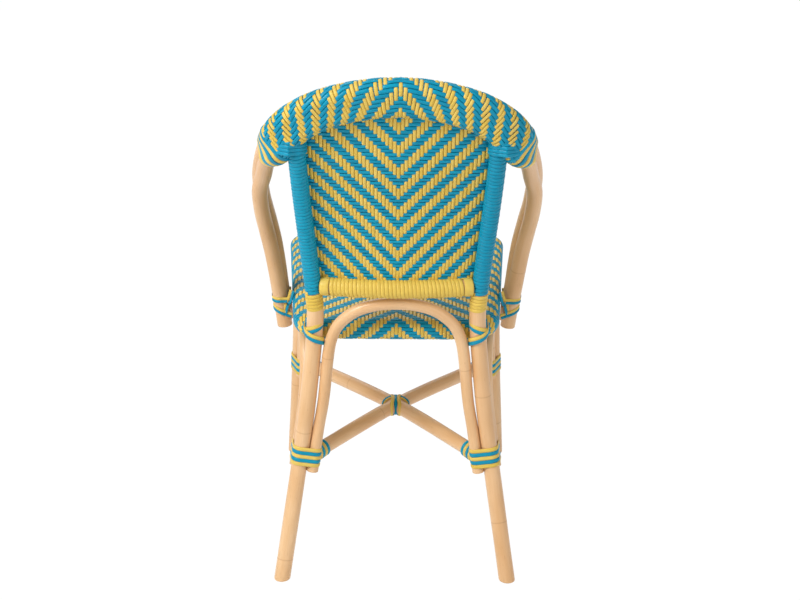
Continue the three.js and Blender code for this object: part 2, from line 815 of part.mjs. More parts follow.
// Post windings: blue down to the rail's level, then a yellow collar
sides.forEach(([word, hand]) => {
  const post = hand > 0 ? rightPost : leftPost;
  const top = shareAtHeight(post, postWrapTop);
  const high = shareAtHeight(post, collarHigh);
  const low = shareAtHeight(post, collarLow);
  const wrapName = `post_wrap_${word}`;
  const collarName = `post_collar_${word}`;
  addPart(wrapName, windingAlong(wrapName, post, postRadius, high, top, postWrapTurns), blueStrip);
  addPart(collarName, windingAlong(collarName, post, postRadius, low, high, collarTurns), yellowStrip);
});

// Back panel: woven between the posts, from the rail up to the crown, bowed to the rear
function underCrown(side) {
  const reach = crownOuter / Math.cos(Math.PI / poleSides) + panelTopGap;
  let low = Infinity;
  for (let k = 0; k <= crownSearchSteps; k += 1) {
    const centre = lowerHoop.getPointAt(k / crownSearchSteps);
    const aside = Math.abs(side - centre.x);
    if (aside < reach && centre.z > crownHeight * crownLowShare) {
      low = Math.min(low, centre.z - Math.sqrt(reach ** 2 - aside ** 2));
    }
  }
  return low;
}

function backPanel() {
  const base = railHeight + wrapReach - postRadius + railRadius;
  const faces = [-0.5, 0.5].map((face) => {
    const rows = [];
    for (let r = 0; r <= panelRows; r += 1) {
      const row = [];
      for (let c = 0; c <= panelColumns; c += 1) {
        const across = (c / panelColumns) * 2 - 1;
        let up = base;
        for (let round = 0; round < panelRounds; round += 1) {
          const half = atHeight(rightPost, up).x - wrapReach - fitGap;
          const top = underCrown(across * half);
          up = base + (top - base) * (r / panelRows);
        }
        const post = atHeight(rightPost, up);
        const half = post.x - wrapReach - fitGap;
        const fore = foreOf(post) + panelFront - railBow * (1 - across * across);
        row.push(spot(across * half, fore + face * weaveThickness, up));
      }
      rows.push(row);
    }
    return rows;
  });
  return plate(faces[0], faces[1]);
}

// Two grids of points joined round their edges to one closed plate
function plate(back, front) {
  const rows = back.length;
  const columns = back[0].length;
  const offset = rows * columns;
  const positions = [...back.flat(), ...front.flat()].flatMap((point) => [point.x, point.y, point.z]);
  const index = [];
  const quad = (a, b, c, d) => index.push(a, b, c, a, c, d);
  const at = (r, c) => r * columns + c;
  for (let r = 0; r < rows - 1; r += 1) {
    for (let c = 0; c < columns - 1; c += 1) {
      quad(at(r, c), at(r, c + 1), at(r + 1, c + 1), at(r + 1, c));
      quad(offset + at(r, c), offset + at(r + 1, c), offset + at(r + 1, c + 1), offset + at(r, c + 1));
    }
    quad(at(r, 0), at(r + 1, 0), offset + at(r + 1, 0), offset + at(r, 0));
    const e = columns - 1;
    quad(at(r, e), offset + at(r, e), offset + at(r + 1, e), at(r + 1, e));
  }
  for (let c = 0; c < columns - 1; c += 1) {
    const e = rows - 1;
    quad(at(0, c), offset + at(0, c), offset + at(0, c + 1), at(0, c + 1));
    quad(at(e, c), at(e, c + 1), offset + at(e, c + 1), offset + at(e, c));
  }
  const geometry = new THREE.BufferGeometry();
  geometry.setAttribute('position', new THREE.Float32BufferAttribute(positions, 3));
  geometry.setIndex(index);
  return outward(geometry);
}

addPart('back_weave', backPanel(), wovenSheet);

// The place where a rising curve passes through a plane
function whereCrosses(curve, origin, along) {
  let low = 0;
  let high = 1;
  for (let round = 0; round < searchRounds; round += 1) {
    const middle = (low + high) / 2;
    if (curve.getPointAt(middle).sub(origin).dot(along) < 0) low = middle;
    else high = middle;
  }
  return curve.getPointAt((low + high) / 2);
}

// Leg bindings: strips wound round a leg and the feet of its two arches
function bundleBinding(name, centre, along, turns, members) {
  const span = turns * stripPitch;
  const { u, v } = crossAxes(along);
  const circles = members.flatMap(({ curve, radius }) => [-0.5, 0, 0.5].map((share) => {
    const origin = centre.clone().addScaledVector(along, share * (span + stripWidth));
    const place = whereCrosses(curve, origin, along).sub(centre);
    return { x: place.dot(u), y: place.dot(v), radius };
  }));
  const half = along.clone().multiplyScalar(span / 2);
  const line = new THREE.LineCurve3(centre.clone().sub(half), centre.clone().add(half));
  const loop = bundleLoop(circles);
  const geometry = windPole(name, {
    curve: line, from: 0, to: 1, turns, loop, width: stripWidth, thickness: stripThickness,
  });
  return { geometry, centre };
}

function legBinding(name, leg, radius, height, companions) {
  const share = shareAtHeight(leg, height);
  const members = [{ curve: leg, radius }, ...companions.map((curve) => ({ curve, radius: archRadius }))];
  return bundleBinding(name, leg.getPointAt(share), leg.getTangentAt(share), bindingTurns, members);
}

// How far a binding reaches from its leg towards a stretcher as thick as it is
function reachTowards({ geometry, centre }, direction, height) {
  const places = geometry.attributes.position;
  let reach = 0;
  for (let k = 0; k < places.count; k += 1) {
    const place = new THREE.Vector3().fromBufferAttribute(places, k);
    const ahead = place.clone().sub(centre).dot(direction);
    if (Math.abs(place.z - height) < stretcherRadius + stripWidth) reach = Math.max(reach, ahead);
  }
  return reach;
}

const bindings = {};
sides.forEach(([word, hand]) => {
  const side = sideArchCurve(hand);
  const nearHand = (curve) => (hand > 0 ? lowerHalf(curve) : upperHalfReversed(curve));
  const rearName = `rear_leg_binding_${word}`;
  const frontName = `front_leg_binding_${word}`;
  const rearArches = [nearHand(rearArch), lowerHalf(side)];
  const frontArches = [nearHand(frontArch), upperHalfReversed(side)];
  const post = postCurve(hand);
  const leg = frontLegCurve(hand);
  bindings[rearName] = legBinding(rearName, post, postRadius, rearBindingHeight, rearArches);
  bindings[frontName] = legBinding(frontName, leg, frontLegRadius, frontBindingHeight, frontArches);
  addPart(rearName, bindings[rearName].geometry, stripedBand);
  addPart(frontName, bindings[frontName].geometry, stripedBand);
});

// Cross stretchers, halved into each other where they cross
function stretcherCurve(hand) {
  const rear = bindings[`rear_leg_binding_${hand > 0 ? 'right' : 'left'}`];
  const front = bindings[`front_leg_binding_${hand > 0 ? 'left' : 'right'}`];
  const forward = front.centre.clone().sub(rear.centre).setZ(0).normalize();
  const backward = forward.clone().negate();
  const rearReach = reachTowards(rear, forward, stretcherRearHeight) + fitGap;
  const frontReach = reachTowards(front, backward, stretcherFrontHeight) + fitGap;
  const start = rear.centre.clone().addScaledVector(forward, rearReach);
  const end = front.centre.clone().addScaledVector(backward, frontReach);
  const middle = start.clone().lerp(end, start.x / (start.x - end.x));
  return new THREE.CatmullRomCurve3([
    start.setZ(stretcherRearHeight), middle.setZ(crossingHeight), end.setZ(stretcherFrontHeight)]);
}

const stretcherCurves = [stretcherCurve(1), stretcherCurve(-1)];
const crossing = stretcherCurves[0].points[1];
const heading = stretcherCurves[0].points[2].clone().sub(stretcherCurves[0].points[0]).setZ(0).normalize();

function stretcher(own, otherHeading, keep) {
  const notch = new THREE.BoxGeometry(cutOverrun * 2, stretcherDiameter + pairGap, cutOverrun);
  notch.rotateZ(Math.atan2(otherHeading.y, otherHeading.x));
  notch.translate(crossing.x, crossing.y, crossing.z + keep * (cutOverrun / 2 - fitGap / 2));
  return toGeometry(toSolid(pole(own, stretcherRadius, stretcherSteps, sleeveSides)).subtract(toSolid(notch)));
}

const otherHeading = heading.clone().setX(-heading.x);
addPart('cross_stretcher_upper', stretcher(stretcherCurves[0], otherHeading, -1), rattan);
addPart('cross_stretcher_lower', stretcher(stretcherCurves[1], heading, 1), rattan);

// Ring bindings on the stretchers' ends
function ringSleeve(curve, from, length, radius) {
  const inner = (radius + windGap) / Math.cos(Math.PI / sleeveSides);
  const outer = inner + stripThickness;
  const profile = [[inner, 0], [outer, 0], [outer, length], [inner, length], [inner, 0]];
  const geometry = new THREE.LatheGeometry(profile.map(([x, y]) => new THREE.Vector2(x, y)), sleeveSides);
  const start = curve.getPointAt(from / curve.getLength());
  const along = curve.getPointAt((from + length) / curve.getLength()).sub(start).normalize();
  geometry.applyQuaternion(new THREE.Quaternion().setFromUnitVectors(new THREE.Vector3(0, 1, 0), along));
  geometry.translate(start.x, start.y, start.z);
  return geometry;
}

[['right', 'left'], ['left', 'right']].forEach(([rearWord, frontWord], k) => {
  const curve = stretcherCurves[k];
  const far = curve.getLength() - stretcherBindingSeat - stretcherBindingLength;
  addPart(`stretcher_binding_rear_${rearWord}`,
    ringSleeve(curve, stretcherBindingSeat, stretcherBindingLength, stretcherRadius), stripedBand);
  addPart(`stretcher_binding_front_${frontWord}`,
    ringSleeve(curve, far, stretcherBindingLength, stretcherRadius), stripedBand);
});

// The crossing is lashed with two closed bands
function crossingBand(alongSide) {
  const sine = Math.abs(alongSide ? heading.y : heading.x);
  const cosine = Math.abs(alongSide ? heading.x : heading.y);
  const half = (stretcherRadius + crossingGap) / sine + (lashingWidth / 2) * (cosine / sine);
  const high = stretcherRadius + crossingGap;
  const stretch = 1 / Math.cos(Math.PI / sleeveSides);
  const ring = (grow, aside) => Array.from({ length: sleeveSides }, (_, k) => {
    const angle = ((k + 0.5) / sleeveSides) * Math.PI * 2;
    const across = Math.cos(angle) * (half * stretch + grow);
    const up = crossing.z + Math.sin(angle) * (high * stretch + grow);
    const place = alongSide ? [across, foreOf(crossing) + aside] : [aside, foreOf(crossing) + across];
    return spot(place[0], place[1], up);
  });
  const edges = [-lashingWidth / 2, lashingWidth / 2];
  const outer = edges.map((aside) => ring(stripThickness, aside));
  const inner = edges.map((aside) => ring(0, aside));
  return toSolid(tube(outer, inner));
}

addPart('cross_lashing', toGeometry(crossingBand(true).add(crossingBand(false))), stripedBand);

// A piece's twin on the other side of the chair
function mirrored(geometry) {
  const twin = geometry.clone();
  const places = twin.attributes.position;
  for (let k = 0; k < places.count; k += 1) places.setX(k, -places.getX(k));
  return outward(twin);
}

function addPair(name, geometry, finish) {
  addPart(`${name}_right`, geometry, finish);
  addPart(`${name}_left`, mirrored(geometry), finish);
}

// An open strip laid along points, each with its way out; its width stands upright or leans
function openStrip(places, width, thickness, rise = new THREE.Vector3(0, 0, 1)) {
  const lift = rise.clone().multiplyScalar(width / 2 / rise.z);
  return loft(places.map(({ point, out }) => {
    const outer = point.clone().addScaledVector(out, thickness);
    return [point.clone().sub(lift), outer.clone().sub(lift), outer.clone().add(lift), point.clone().add(lift)];
  }), false);
}

// Gives each point of a flat path its way out, to the right of the path
function faced(points, heights) {
  return points.map((point, k) => {
    const before = points[Math.max(k - 1, 0)];
    const after = points[Math.min(k + 1, points.length - 1)];
    const incoming = new THREE.Vector2(point.y - before.y, before.x - point.x).normalize();
    const outgoing = new THREE.Vector2(after.y - point.y, point.x - after.x).normalize();
    const first = k > 0 ? incoming : outgoing;
    const second = k < points.length - 1 ? outgoing : incoming;
    const out = first.clone().add(second).divideScalar(1 + first.dot(second));
    return { point: new THREE.Vector3(point.x, point.y, heights[k]), out: new THREE.Vector3(out.x, out.y, 0) };
  });
}

function slantHeights(count, start, end) {
  return Array.from({ length: count }, (_, k) => THREE.MathUtils.lerp(start, end, k / (count - 1)));
}

// Two strips along one flat path, one rising as the other falls, joined where they cross
function crossedStrips(path, low, high, width) {
  const [rising, falling] = [[low, high], [high, low]].map(([from, to]) => (
    toSolid(openStrip(faced(path, slantHeights(path.length, from, to)), width, stripThickness))));
  return toGeometry(rising.add(falling));
}

// Lashings that tie each post to the seat's rear rail: two strips crossed behind the post
const postLashingLow = seatTop - postLashingDrops.low;
const postLashingHigh = seatTop - postLashingDrops.high;

function seatPostLashing() {
  const middle = (postLashingLow + postLashingHigh) / 2;
  const post = atHeight(rightPost, middle);
  const reach = (postRadius + pairGap) / Math.cos(Math.PI / poleSides);
  const seatFace = -seatRearFore + fitGap;
  const points = [new THREE.Vector2(post.x + reach, seatFace)];
  for (let k = 0; k <= poleSides / 2; k += 1) {
    const angle = (k / poleSides) * Math.PI * 2;
    points.push(new THREE.Vector2(post.x + Math.cos(angle) * reach, post.y + Math.sin(angle) * reach));
  }
  points.push(new THREE.Vector2(post.x - reach, seatFace));
  return crossedStrips(points, postLashingLow, postLashingHigh, postLashingWidth);
}

addPair('seat_post_lashing', seatPostLashing(), stripedBand);

// Lashings that tie each arm's two poles to the seat's side
const armLashingLow = seatTop - armLashingDrops.low;
const armLashingHigh = seatTop - armLashingDrops.high;

function armLashing() {
  const middle = (armLashingLow + armLashingHigh) / 2;
  const places = [lowerHoop, upperHoop].map((hoop) => atHeight(upperHalfReversed(hoop), middle));
  const circles = places.map((place) => ({ x: place.x, y: place.y, radius: hoopRadius }));
  const loop = bundleLoop(circles, lashingGap);
  const innermost = Math.min(...places.map((place) => place.x));
  const points = loop.map(({ point }) => point).filter((point) => point.x > innermost);
  points.sort((a, b) => a.y - b.y);
  const start = points[0];
  const end = points[points.length - 1];
  const seatFace = (point) => new THREE.Vector2(seatHalfAt(-point.y) + sheathGap, point.y);
  const path = [seatFace(start), ...points, seatFace(end)];
  return crossedStrips(path, armLashingLow, armLashingHigh, armLashingWidth);
}

addPair('arm_seat_lashing', armLashing(), stripedBand);

// Arm bindings wound round both hoops, just below the crown
const hoopLength = lowerHoop.getLength();
const armBindingHigh = 1 - crownEndShare + (stripWidth / 2 + armBindingStandOff) / hoopLength;
const armBindingLow = armBindingHigh + (armBindingTurns * stripPitch) / hoopLength;

function armBinding() {
  const radius = hoopRadius + crossingGap;
  const place = (share, corner) => {
    const at = THREE.MathUtils.lerp(armBindingHigh, armBindingLow, share);
    const inner = hoopRing(at, radius)[corner];
    const outer = hoopRing(at, radius + stripThickness)[corner];
    return { inner, outer, along: lowerHoop.getTangentAt(at) };
  };
  const corners = (crownArcSteps + 1) * 2;
  return wind('arm_binding', { turns: armBindingTurns, corners, width: stripWidth, place });
}

addPair('arm_binding', armBinding(), stripedBand);

// Shoulder lashings: strips laid flat round the post's top and over to the arm, under the crown
const rightLower = upperHalfReversed(lowerHoop);

function shoulderLashing() {
  const middle = (shoulderLow + shoulderHigh) / 2;
  const post = atHeight(rightPost, middle);
  const arm = atHeight(rightLower, middle);
  const rise = rightPost.getTangentAt(shareAtHeight(rightPost, middle));
  const reach = (postRadius + windGap) / Math.cos(Math.PI / poleSides);
  const points = Array.from({ length: poleSides / 2 }, (_, k) => {
    const angle = Math.PI * (1 - (k / poleSides) * 2);
    return new THREE.Vector2(post.x + Math.cos(angle) * reach, post.y + Math.sin(angle) * reach);
  });
  points.push(new THREE.Vector2(arm.x, arm.y + hoopRadius + windGap));
  const path = faced(points.reverse(), slantHeights(points.length, middle, middle));
  const band = toSolid(openStrip(path, shoulderHigh - shoulderLow, stripThickness, rise));
  const arms = toSolid(pole(lowerHoop, hoopRadius + windGap, hoopSteps));
  const ends = [armBindingHigh - stripWidth / hoopLength, armBindingLow];
  const bound = ends.map((share) => hoopRing(share, hoopRadius + crossingGap + stripThickness + pairGap));
  const kept = [crownKeepOut, arms, toSolid(loft(bound))].reduce((rest, cut) => rest.subtract(cut), band);
  return toGeometry(mainBody(kept));
}

addPair('shoulder_lashing', shoulderLashing(), blueStrip);

chair.updateMatrixWorld(true);
const extent = new THREE.Box3().setFromObject(chair);
chair.position.y = -(extent.min.y + extent.max.y) / 2;

export default chair;
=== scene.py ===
"""The looks of a rattan bistro armchair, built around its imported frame.

Lengths are worked out in millimetres and written to the meshes in metres. A place is given as
side (out from the middle), fore (forward from the rear feet) and up (from the floor).
"""

import logging
import math
import random
from dataclasses import dataclass, field
from enum import Enum
from typing import Callable, Optional, Sequence

import bpy
import numpy as np
from mathutils import Matrix, Vector


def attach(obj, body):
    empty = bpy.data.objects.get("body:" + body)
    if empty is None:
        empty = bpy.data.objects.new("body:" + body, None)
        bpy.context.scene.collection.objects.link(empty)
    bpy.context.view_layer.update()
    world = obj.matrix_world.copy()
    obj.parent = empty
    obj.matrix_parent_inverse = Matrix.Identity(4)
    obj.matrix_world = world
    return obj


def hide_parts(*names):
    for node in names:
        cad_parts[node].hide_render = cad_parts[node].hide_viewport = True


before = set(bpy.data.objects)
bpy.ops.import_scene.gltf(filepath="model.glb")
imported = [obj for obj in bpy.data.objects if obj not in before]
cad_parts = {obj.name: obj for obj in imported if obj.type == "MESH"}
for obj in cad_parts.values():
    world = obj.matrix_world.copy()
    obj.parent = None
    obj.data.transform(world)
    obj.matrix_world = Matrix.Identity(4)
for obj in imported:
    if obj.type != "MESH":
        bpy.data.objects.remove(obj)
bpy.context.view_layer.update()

Array = np.ndarray
Places = Sequence[Sequence[float]]
Surface = Callable[[Array, Array], Array]
Colour = tuple[int, int, int]

LOG = logging.getLogger("bistro_armchair")
MM = 0.001  # metres in a millimetre
SHIFT = 220.87  # from the rear feet forward to the model's middle
FIT = 0.3  # the play left where parts lie against each other
TINY = 1e-9
UP = np.array([0.0, 0.0, 1.0])
MIRROR = np.array([-1.0, 1.0, 1.0])


# Places and paths


def spot(side: float, fore: float, up: float) -> Array:
    """Turns side, fore and up into a point of the model, in millimetres."""
    return np.array([side, SHIFT - fore, up], dtype=float)


def unit(vectors: Array) -> Array:
    """Scales vectors to a length of one."""
    return vectors / np.maximum(np.linalg.norm(vectors, axis=-1, keepdims=True), TINY)


def ease(share: Array) -> Array:
    """Smooths a share from 0 to 1 so that it starts and ends level."""
    held = np.clip(share, 0.0, 1.0)
    return held * held * (3.0 - 2.0 * held)


def round_angles(count: int) -> Array:
    """Gives angles evenly spaced over one turn."""
    return np.arange(count) / count * math.tau


def square_to(ways: Array, headings: Array) -> Array:
    """Turns ways square to the headings they belong to, with a length of one."""
    return unit(ways - headings * np.sum(ways * headings, axis=-1, keepdims=True))


def closing_in(before: Callable[[float], bool], low: float, high: float, rounds: int = 30) -> float:
    """Halves a range again and again towards the place at which a test turns.

    Args:
        before: Whether a place still lies before the one that is looked for.
        low: The range's start.
        high: Its end.
        rounds: How many times it is halved.

    Returns:
        The middle of the last range.
    """
    for _ in range(rounds):
        middle = (low + high) / 2
        if before(middle):
            low = middle
        else:
            high = middle
    return (low + high) / 2


class Path:
    """A smooth line through points, read by share of its length."""

    def __init__(self, places: Array) -> None:
        """Keeps the dense points and their distances along the line.

        Args:
            places: Points along the line, in millimetres.
        """
        self.places = np.asarray(places, dtype=float)
        steps = np.linalg.norm(np.diff(self.places, axis=0), axis=1)
        self.reach = np.concatenate([[0.0], np.cumsum(steps)])

    @classmethod
    def through(cls, knots: Places, per_span: int = 48) -> "Path":
        """Runs a centripetal Catmull-Rom line through a few points.

        Args:
            knots: The points that the line passes through.
            per_span: Dense points between two knots.

        Returns:
            The smooth path.
        """
        points = [np.asarray(knot, dtype=float) for knot in knots]
        before = points[0] * 2 - points[1]
        after = points[-1] * 2 - points[-2]
        chain = [before, *points, after]
        dense = []
        for k in range(1, len(chain) - 2):
            p0, p1, p2, p3 = chain[k - 1 : k + 3]
            d0, d1, d2 = (np.linalg.norm(b - a) ** 0.5 for a, b in ((p0, p1), (p1, p2), (p2, p3)))
            t1 = ((p1 - p0) / d0 - (p2 - p0) / (d0 + d1) + (p2 - p1) / d1) * d1
            t2 = ((p2 - p1) / d1 - (p3 - p1) / (d1 + d2) + (p3 - p2) / d2) * d1
            for w in np.arange(per_span) / per_span:
                dense.append(
                    p1 + t1 * w + (3 * (p2 - p1) - 2 * t1 - t2) * w**2 + (2 * (p1 - p2) + t1 + t2) * w**3
                )
        dense.append(points[-1])
        return cls(np.array(dense))

    @property
    def length(self) -> float:
        """The line's whole length, in millimetres."""
        return float(self.reach[-1])

    def at(self, share: Array | float) -> Array:
        """Gives the points at shares of the length."""
        along = np.clip(np.asarray(share, dtype=float), 0.0, 1.0) * self.length
        return np.stack([np.interp(along, self.reach, self.places[:, k]) for k in range(3)], axis=-1)

    def heading(self, share: Array | float) -> Array:
        """Gives the unit direction of the line at shares of the length."""
        step = 2.0 / self.length
        held = np.clip(np.asarray(share, dtype=float), step, 1.0 - step)
        return unit(self.at(held + step) - self.at(held - step))

    def share_at(self, up: float, low: float = 0.0, high: float = 1.0) -> float:
        """Finds the share at which a rising or falling stretch of the line passes a height."""
        rises = self.at(high)[2] > self.at(low)[2]
        return closing_in(lambda share: (self.at(share)[2] < up) == rises, low, high, rounds=40)

    def at_height(self, up: float, low: float = 0.0, high: float = 1.0) -> Array:
        """Gives the point at which a rising or falling stretch passes a height."""
        return self.at(self.share_at(up, low, high))


def cross_axes(headings: Array) -> tuple[Array, Array]:
    """Gives two axes square to each heading that turn little along a pole."""
    flat = np.abs(headings[..., :1]) > np.abs(headings[..., 2:3]) * 2
    reference = np.where(flat, UP, np.array([1.0, 0.0, 0.0]))
    aside = square_to(reference, headings)
    return aside, np.cross(headings, aside)


def carried_axes(headings: Array) -> tuple[Array, Array]:
    """Carries one pair of axes along a line without twist."""
    first, _ = cross_axes(headings[:1])
    sides = [first[0]]
    for heading in headings[1:]:
        side = sides[-1] - heading * np.dot(sides[-1], heading)
        sides.append(unit(side))
    aside = np.array(sides)
    return aside, np.cross(headings, aside)


def level_path(flat: Array, height: float = 0.0) -> Path:
    """Makes a path of one height from points seen from above."""
    return Path(np.column_stack([flat, np.full(len(flat), height)]))


def round_ways(heading: Array, count: int) -> Array:
    """Gives directions evenly spaced round a heading, square to it."""
    aside, beside = cross_axes(heading[None, :])
    angles = round_angles(count)
    return np.cos(angles)[:, None] * aside + np.sin(angles)[:, None] * beside


# Meshes written from strips and poles


@dataclass
class Shell:
    """One closed body as points, faces and the values that its finish reads."""

    points: Array
    faces: list[tuple[int, ...]]
    flat_faces: int
    grain: Array
    tone: Array
    mark: Array


class Batch:
    """Closed bodies gathered into one mesh."""

    def __init__(self) -> None:
        """Starts with nothing in it."""
        self.shells: list[Shell] = []

    def add(self, shell: Shell) -> None:
        """Takes in one more body."""
        self.shells.append(shell)

    def write(self, name: str) -> bpy.types.Object:
        """Makes the gathered bodies one object, in metres.

        Args:
            name: The new object's name.

        Returns:
            The object, at the origin.
        """
        points = np.concatenate([shell.points for shell in self.shells]) * MM
        faces: list[tuple[int, ...]] = []
        smooth: list[bool] = []
        offset = 0
        for shell in self.shells:
            faces.extend(tuple(k + offset for k in face) for face in shell.faces)
            smooth.extend([True] * (len(shell.faces) - shell.flat_faces) + [False] * shell.flat_faces)
            offset += len(shell.points)
        mesh = bpy.data.meshes.new(name)
        mesh.from_pydata(points.tolist(), [], faces)
        mesh.polygons.foreach_set("use_smooth", smooth)
        grain = mesh.attributes.new("grain", "FLOAT_VECTOR", "POINT")
        grain.data.foreach_set("vector", np.concatenate([s.grain for s in self.shells]).ravel() * MM)
        for label in ("tone", "mark"):
            values = mesh.attributes.new(label, "FLOAT", "POINT")
            values.data.foreach_set("value", np.concatenate([getattr(s, label) for s in self.shells]))
        mesh.update()
        piece = bpy.data.objects.new(name, mesh)
        bpy.context.collection.objects.link(piece)
        return piece


def skin(rings: Array, closed: bool) -> tuple[list[tuple[int, ...]], int]:
    """Joins rings of points into the faces of a closed body.

    Args:
        rings: Points as stations by corners by three.
        closed: Whether the last ring joins the first.

    Returns:
        The faces, and how many flat end faces stand last.
    """
    stations, corners = rings.shape[:2]
    spans = stations if closed else stations - 1
    base = np.arange(spans)[:, None] * corners
    ahead = ((np.arange(spans) + 1) % stations)[:, None] * corners
    corner = np.arange(corners)[None, :]
    beside = (corner + 1) % corners
    quads = np.stack([base + corner, base + beside, ahead + beside, ahead + corner], axis=-1)
    faces = [tuple(quad) for quad in quads.reshape(-1, 4).tolist()]
    if closed:
        return faces, 0
    last = (stations - 1) * corners
    faces.append(tuple(range(corners - 1, -1, -1)))
    faces.append(tuple(range(last, last + corners)))
    return faces, 2


GRAIN_APART = 500.0  # how far a strip's tone moves its grain, so that no two strips show the same
WOVEN_SECTION = np.array([(1, -0.12), (0.56, 0.5), (-0.56, 0.5), (-1, -0.12), (-0.6, -0.5), (0.6, -0.5)])
DOME_POINTS, DOME_POWER, DOME_RIM, DOME_FOOT = 6, 0.7, 0.25, 0.96


def strip_shell(
    centres: Array, across: Array, out: Array, outline: Array, closed: bool, tone: float,
    widen: Array | float = 1.0,
) -> Shell:
    """Sweeps a flat outline along a line.

    Args:
        centres: The line's points.
        across: The width direction at each point.
        out: The outward direction at each point.
        outline: Corners as (across, out), turning from across to out.
        closed: Whether the line is a loop.
        tone: This strip's own shade, 0 to 1.
        widen: How much wider than the outline it is, at each point.

    Returns:
        The swept body, facing out.
    """
    widths = np.broadcast_to(widen, len(centres))[:, None, None]
    rings = (
        centres[:, None, :]
        + across[:, None, :] * outline[None, :, :1] * widths
        + out[:, None, :] * outline[None, :, 1:2]
    )
    along = np.concatenate([[0.0], np.cumsum(np.linalg.norm(np.diff(centres, axis=0), axis=1))])
    heading = centres[1] - centres[0]
    if np.dot(np.cross(across[0], out[0]), heading) < 0:
        rings = rings[:, ::-1]
        outline = outline[::-1]
    faces, flat = skin(rings, closed)
    corners = len(outline)
    grain = np.zeros((len(centres), corners, 3))
    grain[..., 0] = outline[None, :, 0] + tone * GRAIN_APART
    grain[..., 1] = outline[None, :, 1]
    grain[..., 2] = along[:, None]
    count = len(centres) * corners
    # How near each corner lies to the strip's edge; the cane finish darkens this as painted shade where strands
    # meet.
    edge = np.tile(np.abs(outline[:, 0]) / np.abs(outline[:, 0]).max(), len(centres))
    return Shell(rings.reshape(-1, 3), faces, flat, grain.reshape(-1, 3), np.full(count, tone), edge)


def woven_outline(width: float, thickness: float) -> Array:
    """The section of a woven strip: flat below and softly domed above."""
    return WOVEN_SECTION * (width / 2, thickness)


def wound_outline(width: float, thickness: float) -> Array:
    """The section of a wound strip: flat below, with a rounder dome."""
    half = width / 2
    steps = np.linspace(0.0, math.pi, DOME_POINTS)
    dome = np.stack([np.cos(steps) * half, np.sin(steps) ** DOME_POWER * thickness - thickness / 2], axis=-1)
    dome[0, 1] = dome[-1, 1] = -thickness * DOME_RIM
    foot = half * DOME_FOOT
    return np.concatenate([dome, [[-foot, -thickness / 2], [foot, -thickness / 2]]])


# The chair's lines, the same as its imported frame's

POST_SHARES = (
    (1, 0, 0), (0.832, 0.9, 0.276), (0.765, 0.95, 0.398), (0.704, 1, 0.538), (0.686, 0.967, 0.611),
    (0.697, 0.878, 0.659), (0.72, 0.75, 0.729), (0.765, 0.25, 0.87), (0.785, -0.167, 0.962), (0.79, -0.3, 1),
)
FRONT_LEG_SHARES = ((1, 1), (0.937, 0.965), (0.894, 0.936))
REAR_ARCH_SHARES = (
    (1, 0), (0.93, 0.24), (0.86, 0.41), (0.765, 0.765), (0.69, 0.855), (0.59, 0.91), (0.44, 0.96),
    (0.22, 0.992), (0, 1),
)
SIDE_ARCH_SHARES = ((0, 0), (0.012, 0.17), (0.035, 0.5), (0.075, 0.76), (0.155, 0.92), (0.27, 0.985), (0.42, 1))
FRONT_ARCH_SHARES = ((1, 0), (0.99, 0.5), (0.93, 0.76), (0.82, 0.92), (0.62, 0.985), (0.3, 1), (0, 1))
HOOP_SHARES = (
    (0, -0.166, 1), (0.25, -0.163, 0.994), (0.485, -0.15, 0.977), (0.6, -0.124, 0.96), (0.685, -0.1, 0.942),
    (0.745, -0.068, 0.922), (0.812, 0, 0.9), (0.893, 0.157, 0.879), (0.952, 0.381, 0.83), (0.996, 0.529, 0.788),
    (1, 0.659, 0.737), (0.979, 0.771, 0.685), (0.954, 0.857, 0.635), (0.933, 0.919, 0.585), (0.914, 0.964, 0.537),
    (0.892, 0.991, 0.489), (0.878, 1, 0.456),
)
HOOP_PAIR_SHARES = (
    (0, -0.3, 0.95), (0.1, -0.3, 0.95), (0.33, -0.27, 0.9), (0.45, -0.2, 0.85), (0.53, -0.08, 0.82),
    (0.55, 0.08, 0.82), (0.44, 0.3, 0.84), (0.14, 0.66, 0.72), (0.17, 0.74, 0.64), (0.05, 0.8, 0.6),
    (-0.03, 0.85, 0.52), (-0.1, 0.9, 0.42), (-0.12, 0.93, 0.34), (-0.1, 0.96, 0.25), (-0.06, 0.97, 0.2),
    (-0.04, 0.98, 0.15), (-0.03, 0.99, 0.1),
)
RIGHT, LEFT = 1, -1
HANDS = (("right", RIGHT), ("left", LEFT))


